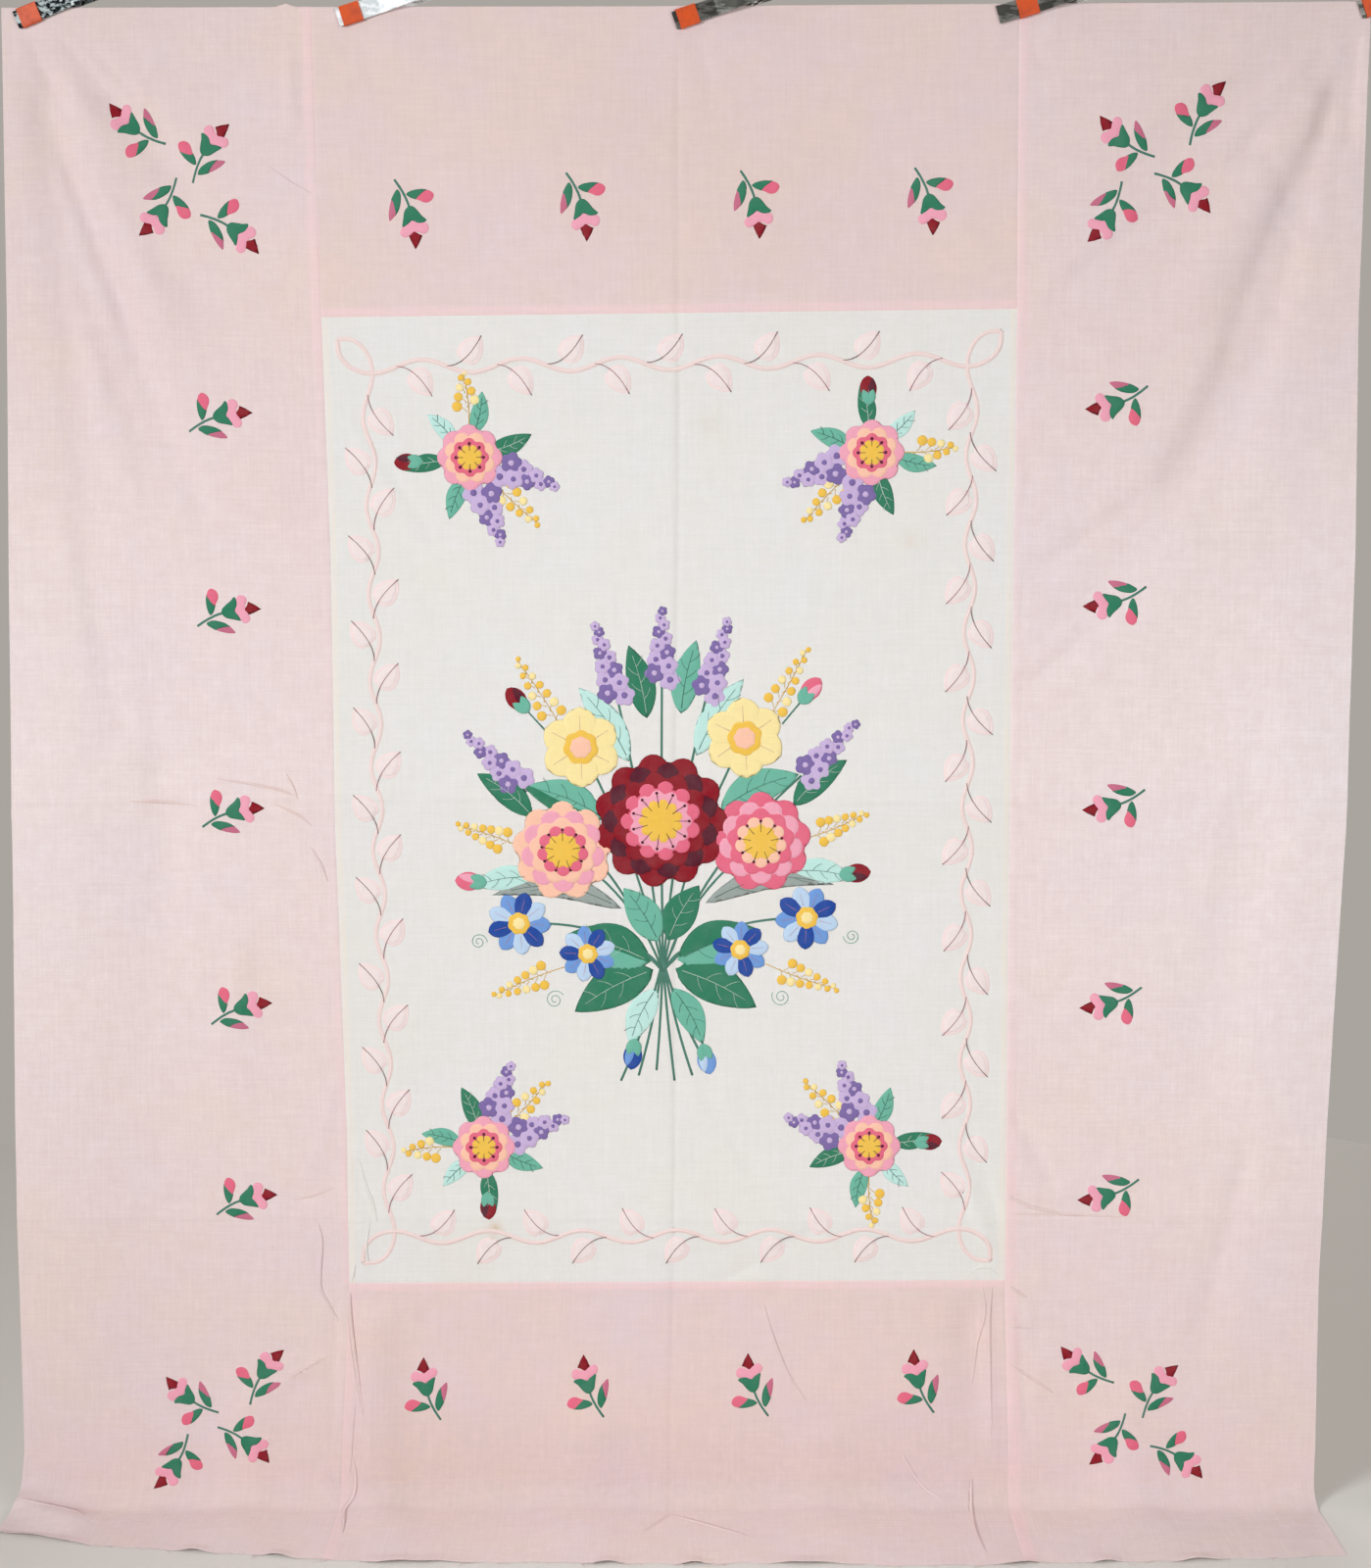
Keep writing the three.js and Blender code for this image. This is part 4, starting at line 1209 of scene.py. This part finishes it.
def spike(place, length, florets):
    """A tall spike of small flowers, larger towards its foot."""
    place.strip([(0, -8), (0, length * 0.5), (0, length * 0.96)], 3.2, "stem_green", 0.4)
    for k in range(florets):
        t = k / (florets - 1)
        radius = 17 - 9.5 * t
        spot = place.within((1 - 0.9 * t) * 12 * (-1) ** k, length * (0.08 + 0.9 * t), 40 * k)
        colour, heart = ("purple", "lavender") if k % 3 == 1 else ("lavender", "purple")
        spot.patch(scallops(radius, 5, 0.26), colour, FLORET_LIFT + STAGGER * (k % 3))
        spot.patch(scallops(radius * 0.28, 3, 0.1), heart, FLORET_LIFT + 0.85)


def mimosa(place, length, balls):
    """A golden sprig: small round puffs on stitched stalks."""
    place.strip(bow((0, -0.3 * length), (5, 0.3 * length), (0, length)), 1.8, "gold_thread", 0.35)
    for k in range(balls):
        t = k / (balls - 1)
        x, y = (-1) ** k * (13 * (1 - t) + 2), length * (0.06 + 0.94 * t)
        place.strip(bow((0, y - 9), (x * 0.3, y - 2), (x, y), 4), 1.3, "gold_thread", 0.4)
        colour = "yellow" if k % 3 == 2 else "gold"
        place.within(x, y).patch(disc(7.6 - 3.4 * t), colour, 0.5 + 0.1 * (k % 3))


def green_leaf(place, length, width, colours, bend):
    """A leaf in one green, or in two that meet at its stitched midrib."""
    outline = leaf(length, width, 0.85, 0.85, bend)
    place.patch(outline, colours[0], GREEN_LIFT)
    if len(colours) > 1:
        half = clipped(outline, (0.0, 0.0), (bend / length, 1))
        place.patch(half, colours[1], GREEN_LIFT + 0.3)
    thread = "pale_thread" if colours[0] == "dark_green" else "vein_green"
    place.strip(midrib(length, bend), 1.3, thread, GREEN_LIFT + 0.75, 0.4)
    for share, side in VEINS:
        foot = np.array([bend * math.sin(math.pi * share), share * length])
        reach = np.array([0.3 * width * side, 0.13 * length])
        vein = bow(foot, foot + reach * (0.7, 0.35), foot + reach, 4)
        place.strip(vein, 1.0, thread, GREEN_LIFT + 0.7, 0.4)


def rosebud(place, length, colours):
    place.strip([(0, -0.9 * length), (0, -0.4 * length), (0, 2)], 3.4, "stem_green", 0.4)
    place.patch(leaf(length, length * 0.62, 1.15, 0.62), colours[0], BUD_LIFT)
    inner = leaf(length * 0.86, length * 0.3, 1.1, 0.7)
    place.within(2, 2, -8).patch(inner, colours[1], BUD_LIFT + 0.35)
    sepal = leaf(length * 0.6, length * 0.32, 0.9, 0.8)
    for turn in (-18, 18):
        place.within(0, -2, turn).patch(sepal, "mid_green", BUD_LIFT + 0.7)


def tendril(place, size):
    """A stitched curl."""
    t = np.linspace(0, 1, 26)
    curl = size * (1 - 0.8 * t)
    angle = 11 * t ** 1.2
    path = np.stack([curl * np.cos(angle) - size, curl * np.sin(angle)], -1)
    place.strip(path, 1.6, "green_thread", 0.35)


# Corner sprays: a round flower with leaves, spikes, golden sprigs and a bud about it
SPRAY_LEAVES = [
    (-22, 12, 66, 66, 27, ("dark_green",)), (22, 14, -68, 64, 27, ("mid_green",)),
    (-26, -18, 122, 60, 25, ("mid_green",)), (26, -20, -124, 62, 25, ("dark_green",)),
    (0, -26, 178, 56, 24, ("mint",)),
]
SPRAY_SIZE = 1.06
SPRAY_ACROSS = 292
SPRAY_UPPER, SPRAY_LOWER = 634, 1662
SPRAYS = [
    (-SPRAY_ACROSS, SPRAY_UPPER, -135), (SPRAY_ACROSS, SPRAY_UPPER, 135),
    (-SPRAY_ACROSS, SPRAY_LOWER, -45), (SPRAY_ACROSS, SPRAY_LOWER, 45),
]


def corner_spray(place):
    for x, y, turn, length, width, colours in SPRAY_LEAVES:
        green_leaf(place.within(x, y, turn), length, width, colours, 3)
    for turn in (-26, 26):
        spike(place.within(0, 0, turn).within(0, 40), 84, 9)
    mimosa(place.within(0, 52), 78, 11)
    mimosa(place.within(-42, -44, 140), 54, 9)
    rosebud(place.within(50, -44, -132), 38, ("dark_red", "maroon"))
    layered_flower(place, 45, ("light_pink", "peach", "hot_pink", "gold"), 8, 1.2)


def corner_sprays():
    applique = Applique("corner_sprays", WHITE)
    for across, drop, turn in SPRAYS:
        corner_spray(Place(applique, across, drop, turn, SPRAY_SIZE))
    return applique.build("white_cotton")


# The bouquet: a fan of flowers about its own middle, its stems gathered below. Rows of small motifs start
# with x, y and turn, and go on with what the motif's function takes
BOUQUET_MIDDLE = (-17, 1232)
GATHER = (0, -165)
STEM_ENDS = 6
BOUQUET_STEMS = [
    (0, 60), (-146, 18), (148, 30), (-118, 172), (124, 184), (-214, -92), (216, -84), (-62, 236), (66, 240),
    (2, 268), (-204, 118), (208, 128), (-112, -138), (116, -132),
]
BOUQUET_LEAVES = [
    (-60, -70, 84, 196, 36, ("grey",), 24), (64, -62, -82, 196, 36, ("grey",), -24),
    (-84, 66, 68, 128, 54, ("mid_green", "dark_green"), 8), (88, 78, -66, 128, 54, ("mid_green",), -8),
    (-46, 150, 34, 134, 44, ("mint",), 6), (52, 158, -32, 134, 44, ("mint",), -6),
    (-190, 70, 52, 104, 40, ("dark_green",), 6), (196, 84, -50, 104, 40, ("dark_green",), -6),
    (-20, 214, 14, 112, 42, ("dark_green",), 4), (30, 220, -12, 112, 42, ("mid_green",), -4),
    (-186, -22, 98, 96, 38, ("mint",), 5), (190, -14, -96, 96, 38, ("mint",), -5),
    (-18, -150, 72, 132, 66, ("dark_green", "mid_green"), 6),
    (22, -148, -70, 132, 66, ("mid_green", "dark_green"), -6),
    (-14, -162, 118, 136, 62, ("dark_green",), 6), (18, -160, -116, 136, 62, ("dark_green",), -6),
    (-6, -120, 32, 96, 50, ("mid_green",), 4), (8, -118, -30, 96, 50, ("dark_green",), -4),
    (-10, -190, 154, 96, 42, ("mint",), 5), (14, -190, -152, 96, 42, ("mid_green",), -5),
]
BOUQUET_SPIKES = [
    (-62, 236, 16, 122, 12), (66, 240, -16, 122, 12), (2, 262, 0, 112, 11), (-204, 112, 46, 116, 11),
    (208, 122, -44, 116, 11),
]
BOUQUET_MIMOSA = [
    (-228, 30, 70, 78, 13), (232, 42, -68, 78, 13), (-156, 214, 32, 104, 13), (164, 224, -30, 104, 13),
    (-172, -168, 112, 88, 13), (178, -162, -110, 88, 13),
]
BOUQUET_BUDS = [
    (-196, 226, 42, 46, ("dark_red", "maroon")), (206, 236, -40, 46, ("hot_pink", "light_pink")),
    (-262, -30, 86, 46, ("hot_pink", "light_pink")), (266, -20, -84, 46, ("dark_red", "maroon")),
    (-44, -268, 172, 46, ("cobalt", "blue")), (58, -276, -166, 46, ("blue", "pale_blue")),
]
BOUQUET_TENDRILS = [(-262, -120, 0, 13), (270, -112, 180, 13), (-150, -200, 30, 15), (164, -196, 150, 15)]
BOUQUET_SMALL = (
    (green_leaf, BOUQUET_LEAVES), (spike, BOUQUET_SPIKES), (mimosa, BOUQUET_MIMOSA), (rosebud, BOUQUET_BUDS),
    (tendril, BOUQUET_TENDRILS),
)
# Round flowers: x, y and radius. Count and width of the petals, their colours, and the rounds of the heart
BOUQUET_ASTERS = [(-214, -92, 48), (216, -84, 48), (-112, -138, 43), (116, -132, 43)]
BOUQUET_DAFFODILS = [(-118, 172, 60), (124, 184, 60)]
ASTER = (9, 0.56, ("blue", "pale_blue", "cobalt"), ((0.36, "gold"), (0.2, "yellow")))
DAFFODIL = (6, 0.84, ("yellow",), ((0.44, "gold"), (0.28, "peach")))
LEFT_FLOWER = ("peach", "light_pink", "peach", "hot_pink", "gold")
RIGHT_FLOWER = ("hot_pink", "light_pink", "hot_pink", "peach", "gold")
MIDDLE_FLOWER = ("dark_red", "maroon", "dark_red", "hot_pink", "light_pink", "gold")


def bouquet_stems(place):
    """Stems from where they are gathered up to the flowers, and their cut ends below."""
    for k, head in enumerate(BOUQUET_STEMS):
        pull = (head[0] * 0.3, head[1] * 0.4 - 50)
        place.strip(bow(GATHER, pull, head, 14), 4.6, "stem_green", 0.3 + 0.02 * k)
    for k in range(STEM_ENDS):
        x = -66 + 27 * k
        path = bow((GATHER[0], GATHER[1] + 20), (x * 0.3, -232), (x, -330 + 8 * (k % 3)))
        place.strip(path, 4.8, "stem_green", 0.4 + 0.03 * k)


def bouquet_small(place):
    """Leaves, spikes, golden sprigs, buds and tendrils."""
    for motif, rows in BOUQUET_SMALL:
        for x, y, turn, *shape in rows:
            motif(place.within(x, y, turn), *shape)


def bouquet_flowers(place):
    for spots, kind in ((BOUQUET_ASTERS, ASTER), (BOUQUET_DAFFODILS, DAFFODIL)):
        for x, y, radius in spots:
            petal_flower(place.within(x, y, x), radius, *kind)
    for x, y, colours in ((-146, 18, LEFT_FLOWER), (148, 30, RIGHT_FLOWER)):
        layered_flower(place.within(x, y, 10), 75, colours, 9, 1.1)
    layered_flower(place.within(0, 62), 100, MIDDLE_FLOWER, 11, 1.4)


def bouquet():
    applique = Applique("bouquet", WHITE)
    place = Place(applique, *BOUQUET_MIDDLE)
    bouquet_stems(place)
    bouquet_small(place)
    bouquet_flowers(place)
    return applique.build("white_cotton")


# Back: seam allowances pressed to one side, as bands with sloping edges: share of the half width, depth
BAND_SECTION = ((-1, 0.1), (-0.9, 1.0), (0.9, 1.0), (1, 0.1))
# How far its middle reaches into the cloth, how far its ends stop short, and points along it
BAND_INSIDE = 0.2
BAND_GAP = 2
LONG_STEPS = 300
CROSS_STEPS = 140


def back_strip(panel, line):
    """A low band of cloth along a line on the back of a panel, its edge a little wavy."""
    side = beside_line(line)
    wave = 0.6 * np.sin(np.arange(len(line)) / 2.3)
    rows = []
    for share, depth in BAND_SECTION:
        flat = line + side * (share * (ALLOWANCE / 2 - 0.8) + wave)[:, None]
        rows.append(panel.at(*flat.T, np.full(len(line), -HALF_CLOTH - depth)))
    rows.append(panel.at(*line.T, np.full(len(line), BAND_INSIDE - HALF_CLOTH)))
    faces = swept_faces(len(line), len(rows))
    materials = [MATERIALS["pink_cotton_back"]]
    piece = new_object(panel.node + "_allowance", np.concatenate(rows), faces, materials)
    return piece


def seam_allowances():
    built = {}
    drop = np.linspace(BAND_GAP - TURN_BACK, END - BAND_GAP, LONG_STEPS)
    for panel, side in ((LEFT, -1), (RIGHT, 1)):
        across = np.full(LONG_STEPS, side * (HALF_CENTRE + ALLOWANCE / 2))
        built[panel] = [back_strip(panel, np.stack([across, drop], -1))]
    across = np.linspace(BAND_GAP - HALF_CENTRE, HALF_CENTRE - BAND_GAP, CROSS_STEPS)
    for panel, (place, side) in zip((TOP, BOTTOM), CROSS_SEAMS):
        drop = np.full(CROSS_STEPS, place + side * ALLOWANCE / 2)
        built[panel] = [back_strip(panel, np.stack([across, drop], -1))]
    return built


# Loose threads along the raw hem: how many, one in how many is long, and how far they go
THREADS = 230
LONG_EVERY = 14
THREADS_END = 995
THREADS_REACH = 11
THREAD_RADIUS = 0.32
THREAD_SIDES = 4
# Range of lengths, and how much a thread leans and sways
SHORT_LENGTHS, LONG_LENGTHS = (2, 6), (10, 30)
SHORT_LEAN, LONG_LEAN = 0.5, 0.9
THREAD_SWAY = 0.25


def tube(points):
    """A four-sided thread through points in millimetres."""
    along = unit(np.gradient(points, axis=0))
    side = unit(np.cross(along, (0.1, 0.2, 1.0)))
    up = np.cross(side, along)
    rings = [points + THREAD_RADIUS * (x * side + y * up) for x, y in around(THREAD_SIDES, 1)]
    return np.concatenate(rings), swept_faces(len(points), THREAD_SIDES)


def loose_thread(is_long):
    """Points of a thread from a place on the hem forward over the floor."""
    across = RNG.uniform(-THREADS_END, THREADS_END)
    panel = LEFT if across < -HALF_CENTRE else RIGHT if across > HALF_CENTRE else BOTTOM
    length = RNG.uniform(*(LONG_LENGTHS if is_long else SHORT_LENGTHS))
    lean = RNG.normal(0, LONG_LEAN if is_long else SHORT_LEAN)
    t = np.linspace(0, 1, 5)[:, None]
    sway = RNG.normal(0, THREAD_SWAY) * length * np.sin(2.4 * t)
    run = np.concatenate([length * lean * t + sway, -min(length, THREADS_REACH) * t, -0.3 * t], -1)
    line = panel.at(across, END, 0.0) + run
    line[:, 2] = np.maximum(line[:, 2], FLOOR + 0.4)
    return line


def hem_threads():
    points, faces, count = [], [], 0
    for k in range(THREADS):
        more, more_faces = tube(loose_thread(k % LONG_EVERY == 0))
        points.append(more)
        faces += [[index + count for index in face] for face in more_faces]
        count += len(more)
    piece = new_object("hem_threads", np.concatenate(points), faces, [MATERIALS["pink_cotton"]])
    return piece


# Clamps keep their solids and take a finish by name
def finish_clamps():
    vinyl = dipped_vinyl()
    # Each steel carries painted reflections; clamp_1's are darker, and clamp_2's near-white steel is a
    # painted glare
    plain = plated_steel("plated_steel", (22, 22, 75), ("d3d1ca", "66655f"), 1.0, 0.2)
    muted = plated_steel("dark_reflection_steel", (140, 140, 210), ("9ea6a5", "14191a"), 0.75, 0.45)
    glare = plated_steel("painted_glare_steel", (60, 60, 130), ("ffffff", "d6dbdc"), 0.05, 0.25)
    plating = {"clamp_1": muted, "clamp_2": glare}
    for name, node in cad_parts.items():
        if name.startswith("clamp_"):
            steel = plating.get(name[:len("clamp_1")], plain)
            node.data.materials.clear()
            node.data.materials.append(vinyl if name.endswith(("_tip", "_grip")) else steel)


# Floor, light and camera
FLOOR_RADIUS = 2.6
FLOOR_STEPS = 96
LAMP_WHITE = (0.94, 0.97, 0.995)
FRONT_GREY = (0.13, 0.125, 0.118, 1)
BEHIND_GREY = (0.4, 0.375, 0.345, 1)
# The photo's focal length and height in pixels, and where it was taken from
FOCAL, PHOTO_HEIGHT = 2292, 1600
SENSOR = 36
EYE = (0, -3.3, -0.734)
EYE_DOWN = 6.58


def stage():
    mesh = bpy.data.meshes.new("floor")
    rim = [(x, y, FLOOR * MM) for x, y in around(FLOOR_STEPS, FLOOR_RADIUS).tolist()]
    mesh.from_pydata(rim, [], [tuple(range(FLOOR_STEPS))])
    nodes = Finish("pale_floor")
    tone = nodes.mix(nodes.noise(nodes.place(), 3.0), linear("dedad5"), linear("d9d5cf"))
    nodes.set(Base_Color=tone, Roughness=0.9, Specular_IOR_Level=0.1)
    mesh.materials.append(nodes.material)
    floor = bpy.data.objects.new("floor", mesh)
    bpy.context.scene.collection.objects.link(floor)


def area_light(name, place, target, size, power, colour, spread=180):
    data = bpy.data.lights.new(name, "AREA")
    data.energy, data.size, data.color = power, size, colour
    data.spread = math.radians(spread)
    light = bpy.data.objects.new(name, data)
    light.location = place
    light.rotation_euler = (Vector(target) - Vector(place)).to_track_quat("-Z", "Y").to_euler()
    bpy.context.scene.collection.objects.link(light)


def lights():
    area_light("key", (-3.1, -3.4, 0.25), (1.8, 0, -1.7), 1.4, 75.5, LAMP_WHITE, 116)
    area_light("fill", (2.3, -3.4, -0.72), (0.4, 0, -0.95), 1.8, 59.5, LAMP_WHITE)
    area_light("overhead", (0, -0.75, 0.55), (0, -0.22, -2.25), 1.3, 1.8, (0.94, 0.975, 1.0), 56)
    area_light("rear", (0.6, 3.6, 1.0), (0, 0, -1.0), 3.0, 70, (1.0, 0.99, 0.97))


def studio():
    """Pale all round behind the cloth and dimmer in front, so that the lamps shape its folds."""
    world = bpy.data.worlds.new("studio")
    bpy.context.scene.world = world
    world.use_nodes = True
    nodes = Nodes(world.node_tree, "Background")
    way = nodes.add("ShaderNodeTexCoord").outputs["Generated"]
    back = nodes.add("ShaderNodeSeparateXYZ", {0: way}).outputs["Y"]
    nodes.set(Color=nodes.mix(nodes.ranged(back, -0.1, 0.5), FRONT_GREY, BEHIND_GREY))


def camera():
    data = bpy.data.cameras.new("camera")
    data.sensor_fit = "VERTICAL"
    data.sensor_height = SENSOR
    data.lens = SENSOR * FOCAL / PHOTO_HEIGHT
    eye = bpy.data.objects.new("camera", data)
    eye.location = EYE
    eye.rotation_euler = (math.radians(90 - EYE_DOWN), 0, 0)
    bpy.context.scene.collection.objects.link(eye)
    bpy.context.scene.camera = eye


bpy.context.scene.view_settings.view_transform = "Standard"
camera()
lights()
studio()
stage()
finish_clamps()
SEWN = border_sprigs()
ON_WHITE = vine_border() + [corner_sprays(), bouquet()]
CREASED = sharp_creases()
STRIPS = seam_allowances()
LOOSE = hem_threads()

for panel in (LEFT, RIGHT, TOP, BOTTOM):
    going = SEWN[panel] + STRIPS[panel] + CREASED.get(panel, [])
    if panel is BOTTOM:
        going.append(LOOSE)
going = ON_WHITE + CREASED[WHITE]
